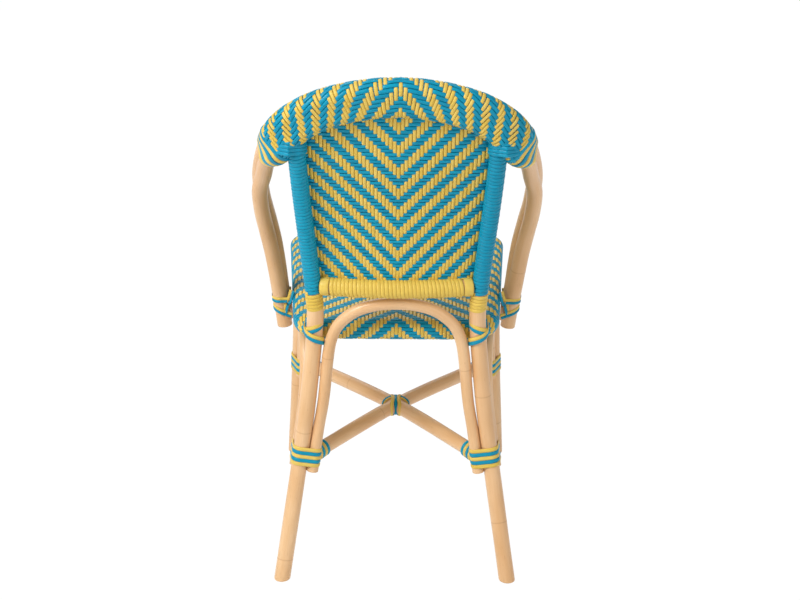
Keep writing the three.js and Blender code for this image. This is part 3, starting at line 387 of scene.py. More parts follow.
@dataclass(frozen=True)
class Lines:
    """The centre lines of the chair's poles and the levels of its seat, in millimetres."""

    post: float = 14.0
    leg: float = 13.5
    arch: float = 9.5
    hoop: float = 13.25
    stretcher: float = 12.75
    rail: float = 13.0
    seat_pole: float = 14.0
    foot_spread: float = 196.0
    rake: float = 60.0
    post_height: float = 786.0
    foot_inset: float = 3.0
    foot_setback: float = 27.0
    binding_rear: float = 217.0
    binding_front: float = 212.0
    pair_gap: float = 0.7
    stub: float = 30.0
    arch_top: float = 499.5
    arch_fore: float = 46.0
    arch_side: float = 7.0
    seat_top: float = 470.0
    seat_drop: float = 16.0
    seat_length: float = 432.0
    seat_front: float = 210.0
    seat_rear: float = 173.0
    seat_edge: float = 18.4
    crown_height: float = 851.0
    arm_share: float = 0.878
    arm_reach: float = 223.0
    rail_height: float = 528.0
    rail_bow: float = 14.0
    stretcher_rear: float = 205.0
    stretcher_front: float = 213.0
    crossing: float = 221.0
    stretcher_inset: float = 5.0

    @property
    def seat_start(self) -> float:
        """How far forward the seat's rear edge stands."""
        level = self.seat_top - self.seat_drop - self.seat_pole
        return SHIFT - self.post_line(RIGHT).at_height(level)[1] + self.post + FIT

    @property
    def foot_reach(self) -> float:
        """How far forward the front feet stand."""
        return self.seat_start + self.seat_length - self.foot_setback

    @property
    def arm_spread(self) -> float:
        """Half the chair's width at the arms."""
        return (self.seat_half(self.arm_reach) + self.hoop + FIT) / self.arm_share

    def seat_level(self, fore: Array | float) -> Array | float:
        """The height of the seat's top at a place from front to rear."""
        return self.seat_top - self.seat_drop * (1 - (fore - self.seat_start) / self.seat_length)

    def seat_half(self, fore: Array | float) -> Array | float:
        """Half the seat's width at a place from front to rear."""
        return self.seat_rear + (fore - self.seat_start) / self.seat_length * (self.seat_front - self.seat_rear)

    def seat_under(self, fore: float) -> float:
        """The height of the underside of the seat's edge."""
        return float(self.seat_level(fore)) - self.seat_edge * 2

    def post_line(self, hand: int) -> Path:
        """The line of a rear post."""
        return Path.through(
            [
                spot(hand * side * self.foot_spread, fore * self.rake, up * self.post_height)
                for side, fore, up in POST_SHARES
            ]
        )

    def leg_line(self, hand: int) -> Path:
        """The line of a front leg."""
        reach = self.foot_reach
        spread = self.seat_front - self.foot_inset
        heights = (0.0, self.binding_front, self.seat_under(reach * FRONT_LEG_SHARES[2][1]) - self.pair_gap)
        return Path.through(
            [
                spot(hand * side * spread, fore * reach, up)
                for (side, fore), up in zip(FRONT_LEG_SHARES, heights)
            ]
        )

    def hoop_knots(self) -> list[Array]:
        """The knots of the lower hoop, from the left arm's end over the crown to the right one's."""
        scale = self.arm_spread, self.arm_reach, self.crown_height
        right = [spot(*(share * size for share, size in zip(shares, scale))) for shares in HOOP_SHARES]
        left = [point * MIRROR for point in right[1:]]
        return [*left[::-1], *right]

    def lower_hoop(self) -> Path:
        """The line of the hoop pole behind."""
        return Path.through(self.hoop_knots())

    def upper_hoop(self) -> Path:
        """The line of the hoop pole before the lower one."""
        knots = self.hoop_knots()
        last = len(knots) - 1
        middle = last // 2
        spacing = self.hoop * 2 + self.pair_gap
        pairs = []
        for k, point in enumerate(knots):
            side, fore, up = HOOP_PAIR_SHARES[abs(k - middle)]
            aside = np.array([np.sign(k - middle) * side, -fore, up])
            along = unit(knots[min(k + 1, last)] - knots[max(k - 1, 0)])
            pairs.append(point + unit(aside - along * np.dot(aside, along)) * spacing)
        return Path.through(pairs)

    def arch_foot(self) -> float:
        """The height at which the arches' feet end."""
        return self.binding_rear - self.stub

    def mirrored_arch(self, half: list[Array]) -> Path:
        """Completes an arch from its right half, foot first."""
        left = [point * MIRROR for point in half[:-1]]
        return Path.through([*half, *left[::-1]])

    def rear_arch(self) -> Path:
        """The line of the arch between the rear posts."""
        post = self.post_line(RIGHT)
        pair = self.post + self.arch + self.pair_gap
        low = self.arch_foot()
        foot = post.at_height(low)[0] - pair
        half = []
        for side_share, rise in REAR_ARCH_SHARES:
            up = low + rise * (self.arch_top - low)
            beside = post.at_height(up)
            side = min(side_share * foot, beside[0] - pair)
            fore = (SHIFT - beside[1]) * (1 - rise**4) + self.arch_fore * rise**4
            half.append(spot(side, fore, up))
        return self.mirrored_arch(half)

    def front_arch(self) -> Path:
        """The line of the arch between the front legs."""
        leg = self.leg_line(RIGHT)
        pair = self.leg + self.arch + self.pair_gap
        low = self.arch_foot()
        foot = leg.at_height(low)[0] - pair
        top = self.seat_under(SHIFT - leg.at(1.0)[1]) - FIT - self.arch
        half = []
        for side_share, rise in FRONT_ARCH_SHARES:
            up = low + rise * (top - low)
            beside = leg.at_height(up)
            half.append(spot(min(side_share * foot, beside[0] - pair), SHIFT - beside[1], up))
        return self.mirrored_arch(half)

    def side_arch(self, hand: int) -> Path:
        """The line of the arch between a rear post and the front leg on its side."""
        post, leg = self.post_line(RIGHT), self.leg_line(RIGHT)
        low = self.arch_foot()
        rear_reach = math.sqrt((self.post + self.arch + self.pair_gap) ** 2 - self.arch_side**2)
        front_reach = math.sqrt((self.leg + self.arch + self.pair_gap) ** 2 - self.arch_side**2)
        rear_fore = SHIFT - post.at_height(low)[1] + rear_reach
        front_fore = SHIFT - leg.at_height(low)[1] - front_reach
        shares = [*SIDE_ARCH_SHARES, *[(1 - along, rise) for along, rise in reversed(SIDE_ARCH_SHARES)]]
        knots = []
        for along, rise in shares:
            even_fore = rear_fore + (front_fore - rear_fore) * along
            top = self.seat_under(even_fore) - FIT - self.arch
            up = low + (top - low) * rise
            rear, front = post.at_height(up), leg.at_height(up)
            fore = min(max(even_fore, SHIFT - rear[1] + rear_reach), SHIFT - front[1] - front_reach)
            beside = rear[0] + self.arch_side + (front[0] - rear[0] - 2 * self.arch_side) * along
            side = beside + (float(self.seat_half(fore)) - self.seat_edge - beside) * rise**3
            knots.append(spot(hand * side, fore, up))
        return Path.through(knots)

    def rail_line(self) -> Path:
        """The line of the rail under the back panel."""
        post = self.post_line(RIGHT).at_height(self.rail_height)
        half = post[0] - self.post
        return Path.through(
            [
                spot(share * half, SHIFT - post[1] - self.rail_bow * (1 - share * share), self.rail_height)
                for share in (-1.0, -0.5, 0.0, 0.5, 1.0)
            ]
        )

    def stretcher_line(self, hand: int) -> Path:
        """The line of the stretcher from the rear leg on one side to the front leg on the other."""
        rear = self.post_line(hand).at_height(self.binding_rear)
        front = self.leg_line(-hand).at_height(self.binding_front)
        forward = unit((front - rear) * np.array([1.0, 1.0, 0.0]))
        start = rear + forward * (self.post + self.stretcher_inset)
        end = front - forward * (self.leg + self.stretcher_inset)
        middle = start + (end - start) * (start[0] / (start[0] - end[0]))
        start[2], middle[2], end[2] = self.stretcher_rear, self.crossing, self.stretcher_front
        return Path.through([start, middle, end])


LINES = Lines()


# Finishes


def plain_light(red: int, green: int, blue: int) -> tuple[float, float, float, float]:
    """Turns an 8-bit screen colour into Blender's linear one."""
    linear = [
        value / 12.92 if value <= 0.04045 else ((value + 0.055) / 1.055) ** 2.4
        for value in (red / 255, green / 255, blue / 255)
    ]
    return (*linear, 1.0)


class Nodes:
    """Short calls for building a node tree."""

    def __init__(self, tree: bpy.types.NodeTree) -> None:
        """Takes the tree to build in."""
        self.tree = tree

    def feed(self, node: bpy.types.Node, feeds: dict[str | int, object]) -> None:
        """Sets a node's inputs to values, or joins them to other nodes' outputs."""
        for key, value in feeds.items():
            if isinstance(value, bpy.types.NodeSocket):
                self.tree.links.new(value, node.inputs[key])
            else:
                node.inputs[key].default_value = value

    def node(
        self, kind: str, feeds: Optional[dict[str | int, object]] = None, **settings: object
    ) -> bpy.types.Node:
        """Adds a node.

        Args:
            kind: The node's type.
            feeds: A value or another node's output, by input.
            settings: The node's own properties.

        Returns:
            The new node.
        """
        made = self.tree.nodes.new(kind)
        for key, value in settings.items():
            setattr(made, key, value)
        self.feed(made, feeds or {})
        return made

    def seen_by(self, first: str, second: str) -> bpy.types.NodeSocket:
        """Gives one for rays of either of two kinds, and else nought."""
        rays = self.node("ShaderNodeLightPath").outputs
        return self.node("ShaderNodeMath", {0: rays[first], 1: rays[second]}, operation="MAXIMUM").outputs[0]

    def mixed_shaders(
        self, share: bpy.types.NodeSocket, first: bpy.types.NodeSocket, second: bpy.types.NodeSocket
    ) -> bpy.types.NodeSocket:
        """Blends two shaders by a share."""
        return self.node("ShaderNodeMixShader", {"Fac": share, 1: first, 2: second}).outputs["Shader"]


class Recipe(Nodes):
    """A material's node tree, with calls for what its finish is built from."""

    def __init__(self, name: str) -> None:
        """Starts a material with its shader alone."""
        self.material = bpy.data.materials.new(name)
        self.material.use_nodes = True
        super().__init__(self.material.node_tree)
        self.shader = self.tree.nodes["Principled BSDF"]

    def attribute(self, name: str, output: str = "Fac") -> bpy.types.NodeSocket:
        """Reads a value that the piece's mesh carries."""
        node = self.node("ShaderNodeAttribute", attribute_name=name, attribute_type="GEOMETRY")
        return node.outputs[output]

    def cloud(self, place: bpy.types.NodeSocket, scale: float, detail: float) -> bpy.types.NodeSocket:
        """Noise over a place."""
        feeds = {"Scale": scale, "Detail": detail, "Vector": place}
        return self.node("ShaderNodeTexNoise", feeds).outputs["Fac"]

    def object_noise(self, scale: float, detail: float) -> bpy.types.NodeSocket:
        """Noise over a piece that carries no grain."""
        return self.cloud(self.node("ShaderNodeTexCoord").outputs["Object"], scale, detail)

    def ramp(self, source: bpy.types.NodeSocket, low: float, high: float) -> bpy.types.NodeSocket:
        """Stretches a value between two limits to run from 0 to 1."""
        feeds = {"From Min": low, "From Max": high, "Value": source}
        return self.node("ShaderNodeMapRange", feeds, clamp=True).outputs["Result"]

    def mixed(
        self, share: bpy.types.NodeSocket, first: object, second: tuple[float, ...], strength: float = 1.0
    ) -> bpy.types.NodeSocket:
        """Blends from a colour or socket towards a colour, by a share times a strength."""
        scaled = self.node("ShaderNodeMath", {0: share, 1: strength}, operation="MULTIPLY")
        feeds = {"Factor": scaled.outputs[0], "A": first, "B": second}
        return self.node("ShaderNodeMix", feeds, data_type="RGBA").outputs["Result"]

    def layered(self, base: Colour, *layers: tuple[bpy.types.NodeSocket, Colour, float]) -> None:
        """Colours the surface.

        Args:
            base: The colour that it starts from.
            layers: Blends over it, each a share, the colour that it goes towards and a strength.
        """
        colour: object = plain_light(*base)
        for share, towards, strength in layers:
            colour = self.mixed(share, colour, plain_light(*towards), strength)
        self.feed(self.shader, {"Base Color": colour})

    def bump(self, *heights: tuple[bpy.types.NodeSocket, float, float]) -> None:
        """Raises the surface by several heights, each with a strength and a depth in metres."""
        normal: dict[str, object] = {}
        for height, strength, depth in heights:
            feeds = {"Strength": strength, "Distance": depth, "Height": height, **normal}
            normal = {"Normal": self.node("ShaderNodeBump", feeds).outputs["Normal"]}
        self.feed(self.shader, normal)

    def roughness(self, share: bpy.types.NodeSocket, low: float, high: float) -> None:
        """Lets the gloss vary between two roughness values."""
        stretch = self.node("ShaderNodeMapRange", {"To Min": low, "To Max": high, "Value": share})
        self.feed(self.shader, {"Roughness": stretch.outputs["Result"]})


@dataclass(frozen=True)
class Grain:
    """Noise over a piece's grain, by a scale on each axis, kept between two limits."""

    scale: tuple[float, float, float]
    detail: float
    low: float
    high: float

    def read(self, recipe: Recipe) -> bpy.types.NodeSocket:
        """Adds the noise to a recipe."""
        feeds = {"Scale": self.scale, "Vector": recipe.attribute("grain", "Vector")}
        place = recipe.node("ShaderNodeMapping", feeds).outputs["Vector"]
        return recipe.ramp(recipe.cloud(place, 1.0, self.detail), self.low, self.high)


@dataclass(frozen=True)
class PeeledRattan:
    """Varnished peeled rattan pole: long fibres, slow tone changes and brown growth rings."""

    name: str = "peeled_rattan"
    light: Colour = (236, 198, 152)
    deep: Colour = (214, 164, 108)
    aged: Colour = (204, 150, 96)
    ring: Colour = (168, 110, 62)
    fibre: Grain = Grain((900.0, 900.0, 14.0), 4.0, 0.35, 0.68)
    patch: Grain = Grain((30.0, 30.0, 9.0), 2.0, 0.3, 0.7)
    fleck: Grain = Grain((420.0, 420.0, 90.0), 1.0, 0.68, 0.78)
    patch_share: float = 0.75
    fibre_share: float = 0.35
    aged_share: float = 0.35
    fleck_share: float = 0.22
    ring_share: float = 0.34
    gloss: tuple[float, float] = (0.36, 0.5)
    coat: float = 0.25
    coat_roughness: float = 0.22
    bump: float = 0.25
    fibre_depth: float = 0.0002
    patch_depth: float = 0.0006

    def make(self) -> bpy.types.Material:
        """Builds the material."""
        recipe = Recipe(self.name)
        fibre, patch, fleck = (grain.read(recipe) for grain in (self.fibre, self.patch, self.fleck))
        recipe.layered(
            self.light,
            (patch, self.deep, self.patch_share),
            (fibre, self.deep, self.fibre_share),
            (recipe.attribute("tone"), self.aged, self.aged_share),
            (fleck, self.ring, self.fleck_share),
            (recipe.attribute("mark"), self.ring, self.ring_share),
        )
        recipe.roughness(fibre, *self.gloss)
        recipe.feed(recipe.shader, {"Coat Weight": self.coat, "Coat Roughness": self.coat_roughness})
        recipe.bump((fibre, self.bump, self.fibre_depth), (patch, self.bump, self.patch_depth))
        return recipe.material


@dataclass(frozen=True)
class CaneStrip:
    """Dyed synthetic cane: long fine lines, a shade of its own on each strand, painted shade darkening each
    strip's edges where strands meet, and a soft gloss.
    """

    name: str
    shade: Colour
    pale: Colour
    dark: Colour
    line: Grain = Grain((1500.0, 1500.0, 40.0), 3.0, 0.35, 0.7)
    cloud: Grain = Grain((40.0, 40.0, 60.0), 2.0, 0.3, 0.7)
    # Painted shade darkens each strip from this share of its half-width out to its edges, where strands meet in
    # shade; a share further down sets how dark.
    edge_shade_from: float = 0.72
    pale_share: float = 0.6
    line_share: float = 0.28
    cloud_share: float = 0.2
    edge_shade_share: float = 0.22
    gloss: tuple[float, float] = (0.34, 0.48)
    refraction: float = 1.33
    bump: float = 0.3
    line_depth: float = 0.00015

    def make(self) -> bpy.types.Material:
        """Builds the material."""
        recipe = Recipe(self.name)
        line, cloud = self.line.read(recipe), self.cloud.read(recipe)
        recipe.layered(
            self.shade,
            (recipe.attribute("tone"), self.pale, self.pale_share),
            (line, self.dark, self.line_share),
            (cloud, self.dark, self.cloud_share),
            # Painted shade: darker towards each strip's edges, where neighbouring strands meet.
            (recipe.ramp(recipe.attribute("mark"), self.edge_shade_from, 1.0), self.dark, self.edge_shade_share),
        )
        recipe.roughness(line, *self.gloss)
        recipe.feed(recipe.shader, {"IOR": self.refraction})
        recipe.bump((line, self.bump, self.line_depth))
        return recipe.material


@dataclass(frozen=True)
class DarkPlating:
    """Dark plated steel with fine scratches, its colours linear."""

    name: str = "dark_plated_steel"
    dark: tuple[float, ...] = (0.05, 0.045, 0.04, 1.0)
    light: tuple[float, ...] = (0.16, 0.15, 0.14, 1.0)
    scale: float = 900.0
    detail: float = 2.0
    metallic: float = 0.9
    gloss: tuple[float, float] = (0.25, 0.5)

    def make(self) -> bpy.types.Material:
        """Builds the material."""
        recipe = Recipe(self.name)
        cloud = recipe.object_noise(self.scale, self.detail)
        colour = recipe.mixed(cloud, self.dark, self.light)
        recipe.feed(recipe.shader, {"Base Color": colour, "Metallic": self.metallic})
        recipe.roughness(cloud, *self.gloss)
        return recipe.material


@dataclass(frozen=True)
class GlidePlastic:
    """Moulded foot glides, scuffed underneath."""

    name: str = "glide_plastic"
    light: Colour = (150, 122, 92)
    dark: Colour = (112, 90, 68)
    scale: float = 500.0
    detail: float = 5.0
    gloss: tuple[float, float] = (0.45, 0.7)
    bump: float = 0.2
    depth: float = 0.0002

    def make(self) -> bpy.types.Material:
        """Builds the material."""
        recipe = Recipe(self.name)
        cloud = recipe.object_noise(self.scale, self.detail)
        recipe.layered(self.light, (cloud, self.dark, 1.0))
        recipe.roughness(cloud, *self.gloss)
        recipe.bump((cloud, self.bump, self.depth))
        return recipe.material


class Finish(Enum):
    """The chair's finishes, by the slot that each belongs to."""

    RATTAN = "rattan"
    BLUE = "blue_strip"
    YELLOW = "yellow_strip"
    STEEL = "screw_steel"
    GLIDE = "glide_plastic"


class Palette:
    """Makes each finish once and puts it on pieces."""

    def __init__(self) -> None:
        """Builds every material."""
        self.materials = {
            Finish.RATTAN: PeeledRattan().make(),
            Finish.BLUE: CaneStrip("blue_cane", (0, 142, 175), (0, 166, 196), (0, 100, 128)).make(),
            Finish.YELLOW: CaneStrip("yellow_cane", (223, 190, 82), (236, 209, 118), (192, 152, 54)).make(),
            Finish.STEEL: DarkPlating().make(),
            Finish.GLIDE: GlidePlastic().make(),
        }

    def dress(self, piece: bpy.types.Object, finish: Finish, slot: str, *nodes: str) -> None:
        """Gives a piece its finish and its body, and hides the frame's parts for the nodes that it stands for.

        Args:
            piece: The finished object.
            finish: Which finish it gets.
            slot: A material slot's name; not used.
            nodes: The frame's nodes that the piece replaces.
        """
        piece.data.materials.clear()
        piece.data.materials.append(self.materials[finish])
        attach(piece, "root")
        if nodes:
            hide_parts(*nodes)
        LOG.info("%s: %d faces", piece.name, len(piece.data.polygons))

    def stripes(self, node: str, blue: Batch, yellow: Batch) -> None:
        """Writes and dresses the blue and the yellow strips of a striped node."""
        for word, batch, finish in (("blue", blue, Finish.BLUE), ("yellow", yellow, Finish.YELLOW)):
            self.dress(batch.write(f"{node}_{word}"), finish, "striped_strip", node)


# Poles


@dataclass
class Poles:
    """The bent rattan poles of the frame, round and marked with growth rings."""

    palette: Palette
    corners: int = 32
    step: float = 7.0
    swell: float = 0.22
    wobble: float = 0.12
    edge: float = 0.9
    floor: float = 2.3
    foot_blend: float = 45.0
    snug: float = 0.5
    neck: float = 1.2
    neck_from: float = 488.0
    neck_fade: float = 4.0
    end_marks: tuple[float, ...] = (0.35, 0.9, 2.0)
    ring_marks: tuple[float, ...] = (-3.0, -1.5, -0.7, 0.0, 0.7, 1.5, 3.0)
    closest: float = 0.25
    least_spans: int = 8
    waves: tuple[float, float] = (71.0, 29.0)
    ring_width: float = 2.6
    groove_width: float = 0.8
    groove_share: float = 0.7
    mark_width: float = 0.9
    grain_spread: float = 900.0
    ring_spacing: float = 430.0
    first_ring: tuple[float, float] = (0.25, 0.9)
    next_ring: tuple[float, float] = (0.7, 1.35)
    ringless_end: float = 15.0
    right_post_rings: tuple[float, ...] = (36.0, 268.0)
    left_post_ring_shares: tuple[float, ...] = (0.13, 0.42)
    leg_ring_share: float = 0.27
    leg_ring_shift: float = 0.1
    high_leg_ring_share: float = 0.8
    leg_points: int = 400
    seat_ends: float = 0.4
    first_single_seed: int = 41

    def stations(self, path: Path, rings: Sequence[float]) -> Array:
        """Shares along a pole, closer together at its ends and at its growth rings."""
        count = max(int(path.length / self.step), self.least_spans)
        marks = list(np.linspace(0.0, 1.0, count + 1))
        for place in self.end_marks:
            marks.extend([place / path.length, 1 - place / path.length])
        for ring in rings:
            marks.extend([ring + offset / path.length for offset in self.ring_marks])
        kept = sorted(mark for mark in marks if 0.0 <= mark <= 1.0)
        chosen = [kept[0]]
        for mark in kept[1:]:
            if (mark - chosen[-1]) * path.length > self.closest:
                chosen.append(mark)
        return np.array(chosen)

    def shell(self, path: Path, radius: float, seed: int, rings: Sequence[float], stands: bool) -> Shell:
        """Sweeps one pole.

        Args:
            path: Its centre line.
            radius: Its radius.
            seed: Seeds its small unevenness.
            rings: Shares of its length at which it has growth rings.
            stands: Whether its first end is cut level with the floor.

        Returns:
            The pole as a closed body.
        """
        dice = random.Random(seed)
        shares = self.stations(path, rings)
        centres = path.at(shares)
        headings = path.heading(shares)
        aside, beside = carried_axes(headings)
        along = shares * path.length
        phases = [dice.uniform(0, math.tau) for _ in range(3)]
        radii = np.full(len(shares), radius)
        slow, quick = (self.wobble * np.sin(along / wave + phase) for wave, phase in zip(self.waves, phases))
        radii += slow + quick
        if stands:
            radii -= self.neck * ease((centres[:, 2] - self.neck_from) / self.neck_fade)
        mark = np.zeros(len(shares))
        for ring in rings:
            off = along - ring * path.length
            radii += self.swell * np.exp(-((off / self.ring_width) ** 2))
            radii -= self.swell * self.groove_share * np.exp(-((off / self.groove_width) ** 2))
            mark += np.exp(-((off / self.mark_width) ** 2))
        for distance in (along, path.length - along):
            short = np.clip(1 - distance / self.edge, 0.0, 1.0)
            radii -= self.edge * (1 - np.sqrt(1 - short**2))
        angles = round_angles(self.corners)
        cosine, sine = np.cos(angles), np.sin(angles)
        spokes = aside[:, None, :] * cosine[None, :, None] + beside[:, None, :] * sine[None, :, None]
        spokes = spokes * radii[:, None, None]
        if stands:
            level = np.clip(1 - along / self.foot_blend, 0.0, 1.0)[:, None, None]
            slide = spokes[..., 2:3] / headings[:, None, 2:3]
            spokes = spokes - headings[:, None, :] * slide * level
        rows = centres[:, None, :] + spokes
        faces, flat = skin(rows, False)
        grain = np.zeros_like(rows)
        offset = dice.uniform(0, self.grain_spread)
        grain[..., 0] = cosine[None, :] * radius + offset
        grain[..., 1] = sine[None, :] * radius + offset
        grain[..., 2] = along[:, None]
        count = rows.shape[0] * rows.shape[1]
        return Shell(
            rows.reshape(-1, 3), faces, flat, grain.reshape(-1, 3),
            np.full(count, dice.random()), np.repeat(np.clip(mark, 0.0, 1.0), self.corners),
        )

    def rings(self, path: Path, seed: int) -> list[float]:
        """Picks the places of a pole's growth rings."""
        dice = random.Random(seed)
        place = dice.uniform(*self.first_ring) * self.ring_spacing
        found = []
        while place < path.length - self.ringless_end:
            found.append(place / path.length)
            place += self.ring_spacing * dice.uniform(*self.next_ring)
        return found

    def place(
        self, name: str, path: Path, radius: float, seed: int, stands: bool = False,
        rings: Optional[Sequence[float]] = None,
    ) -> None:
        """Builds a pole in the place of its node.

        Args:
            name: The node's name.
            path: The centre line.
            radius: The pole's radius.
            seed: Seeds its unevenness and rings.
            stands: Whether its first end stands on a glide.
            rings: Growth rings by share of length, or none to pick them.
        """
        batch = Batch()
        batch.add(self.shell(path, radius, seed, self.rings(path, seed) if rings is None else rings, stands))
        self.palette.dress(batch.write(f"{name}_pole"), Finish.RATTAN, "rattan", name)

    def on_floor(self, path: Path) -> Path:
        """Starts a leg's line at the top of its glide."""
        start = path.share_at(self.floor)
        return Path(path.at(np.linspace(start, 1.0, self.leg_points)))

    def seat_ring(self) -> Path:
        """The line of the bent pole round the seat, whose ends meet at the rear."""
        corners = SeatOutline().ring(LINES.seat_edge, LINES.seat_edge)
        start = (corners[-1] + corners[0]) / 2
        gap = np.array([self.seat_ends, 0.0, 0.0])
        return Path.through([start + gap, *corners, start - gap], per_span=8)

    def build(self) -> None:
        """Builds every pole."""
        arch = LINES.arch + self.snug
        for word, hand in HANDS:
            post = self.on_floor(LINES.post_line(hand))
            leg = self.on_floor(LINES.leg_line(hand))
            if hand == RIGHT:
                post_rings = [height / post.length for height in self.right_post_rings]
            else:
                post_rings = self.left_post_ring_shares
            leg_rings = (self.leg_ring_share + self.leg_ring_shift * hand, self.high_leg_ring_share)
            self.place(f"rear_post_{word}", post, LINES.post, 11 + hand, True, post_rings)
            self.place(f"front_leg_{word}", leg, LINES.leg, 21 + hand, True, leg_rings)
            self.place(f"side_arch_{word}", LINES.side_arch(hand), arch, 31 + hand)
        singles = (
            ("rear_arch", LINES.rear_arch(), arch),
            ("front_arch", LINES.front_arch(), arch),
            ("arm_hoop_lower", LINES.lower_hoop(), LINES.hoop),
            ("arm_hoop_upper", LINES.upper_hoop(), LINES.hoop),
            ("cross_stretcher_upper", LINES.stretcher_line(RIGHT), LINES.stretcher),
            ("cross_stretcher_lower", LINES.stretcher_line(LEFT), LINES.stretcher),
            ("back_rail", LINES.rail_line(), LINES.rail),
            ("seat_hoop", self.seat_ring(), LINES.seat_pole),
        )
        for seed, (name, path, radius) in enumerate(singles, self.first_single_seed):
            self.place(name, path, radius, seed)


# Woven surfaces


@dataclass
class SeatOutline:
    """The seat seen from above: a trapezoid with rounded corners, open to being moved in."""

    rear_corner: float = 56.0
    front_corner: float = 38.0
    steps: int = 10

    @property
    def lean(self) -> float:
        """How far the seat's sides turn out towards the front, in radians."""
        return math.atan2(LINES.seat_front - LINES.seat_rear, LINES.seat_length)

    def cores(self) -> tuple[tuple[float, float], tuple[float, float]]:
        """The centres of the rear and front corners' rounding, as (side, fore)."""
        rear = self.rear_corner / math.tan(math.pi / 4 + self.lean / 2)
        front = self.front_corner / math.tan(math.pi / 4 - self.lean / 2)
        start = LINES.seat_start
        return (
            (LINES.seat_rear - rear, start + self.rear_corner),
            (LINES.seat_front - front, start + LINES.seat_length - self.front_corner),
        )

    def ring(self, inset: float, drop: float) -> list[Array]:
        """The outline moved in and down, from the rear right round to the rear left.

        Args:
            inset: How far it is moved in.
            drop: How far it lies below the seat's top.

        Returns:
            Its points.
        """
        (rear_side, rear_fore), (front_side, front_fore) = self.cores()
        quarter = math.pi / 2
        corners = (
            (rear_side, rear_fore, self.rear_corner, -quarter, quarter - self.lean),
            (front_side, front_fore, self.front_corner, -self.lean, quarter + self.lean),
        )
        half = []
        for side, fore, radius, start, turn in corners:
            for k in range(self.steps + 1):
                angle = start + turn * k / self.steps
                reach = radius - inset
                half.append((side + math.cos(angle) * reach, fore + math.sin(angle) * reach))
        both = [*half, *[(-side, fore) for side, fore in reversed(half)]]
        return [spot(side, fore, float(LINES.seat_level(fore)) - drop) for side, fore in both]


@dataclass
class Twill:
    """A chevron twill: each warp lies over three wefts and under three, stepping at each warp."""

    warp_width: float = 6.2
    weft_width: float = 6.5
    thickness: float = 1.9
    rise: float = 0.85
    lean: int = -1
    phase: int = 0
    repeat: int = 6
    over: int = 3
    samples: int = 3
    level_share: float = 0.12
    slope_share: float = 0.76

    def warp_on_top(self, warp: Array, weft: Array) -> Array:
        """Whether the warp is the upper strand where two strands cross."""
        return ((weft + self.lean * np.abs(warp) + self.phase) % self.repeat) < self.over

    def height(self, fixed: int, places: Array, warp_runs: bool) -> Array:
        """The height of one strand over the sheet's middle, along the strand.

        Args:
            fixed: The strand's own number.
            places: Where along it, counted in crossings.
            warp_runs: Whether the strand is a warp.

        Returns:
            Heights in millimetres.
        """
        low = np.floor(places).astype(int)
        share = ease((places - low - self.level_share) / self.slope_share)
        states = []
        for number in (low, low + 1):
            own = np.full_like(number, fixed)
            top = self.warp_on_top(own, number) if warp_runs else ~self.warp_on_top(number, own)
            states.append(np.where(top, 1.0, -1.0))
        return self.rise * (states[0] * (1 - share) + states[1] * share)


@dataclass
class WovenSheet:
    """A sheet woven of separate strands over a surface that is numbered by warp and weft."""

    palette: Palette
    node: str
    twill: Twill
    surface: Surface
    outward: float = 1.0
    seed: int = 5
    flat_rise: float = 0.3
    probe: float = 0.08

    def frame(self, warp: Array, weft: Array) -> tuple[Array, Array, Array, Array]:
        """The surface's points, warp-wise and weft-wise directions and outward normals."""
        small = self.probe
        points = self.surface(warp, weft)
        aside = unit(self.surface(warp + small, weft) - self.surface(warp - small, weft))
        ahead = unit(self.surface(warp, weft + small) - self.surface(warp, weft - small))
        return points, aside, ahead, unit(np.cross(aside, ahead)) * self.outward

    def face(self, warp: float, weft: float, way: Array) -> None:
        """Makes the side that looks a given way, at one place of the sheet, its outer one."""
        normal = self.frame(np.array([warp]), np.array([weft]))[3][0]
        if np.dot(normal, way) < 0:
            self.outward = -self.outward

    def strand(
        self, fixed: int, places: Array, warp_runs: bool, closed: bool, flat: Optional[Array] = None
    ) -> Shell:
        """Builds one strand over and under those that it crosses.

        Args:
            fixed: The strand's own number.
            places: Where along it, counted in crossings.
            warp_runs: Whether the strand is a warp.
            closed: Whether it is an endless loop.
            flat: Optional shares that level it out where nothing crosses it.

        Returns:
            The strand as a closed body.
        """
        numbers = np.full_like(places, float(fixed))
        warp, weft = (numbers, places) if warp_runs else (places, numbers)
        points, aside, ahead, normal = self.frame(warp, weft)
        heights = self.twill.height(fixed, places, warp_runs)
        if flat is not None:
            heights = heights * (1 - flat) + self.twill.rise * self.flat_rise * flat
        width = self.twill.warp_width if warp_runs else self.twill.weft_width
        outline = woven_outline(width, self.twill.thickness)
        tone = random.Random(self.seed * 1000 + fixed * 2 + int(warp_runs)).random()
        centres = points + normal * heights[:, None]
        run = unit(np.gradient(centres, axis=0))
        across = square_to(aside if warp_runs else ahead, run)
        lift = np.cross(across, run)
        lift *= np.sign(np.sum(lift * normal, axis=1, keepdims=True))
        return strip_shell(centres, across, lift, outline, closed, tone)

    def finish(self, warps: Batch, wefts: Batch) -> None:
        """Writes and dresses the two sets of strands."""
        self.palette.dress(warps.write(f"{self.node}_warps"), Finish.YELLOW, "woven_sheet", self.node)
        self.palette.dress(wefts.write(f"{self.node}_wefts"), Finish.BLUE, "woven_sheet", self.node)


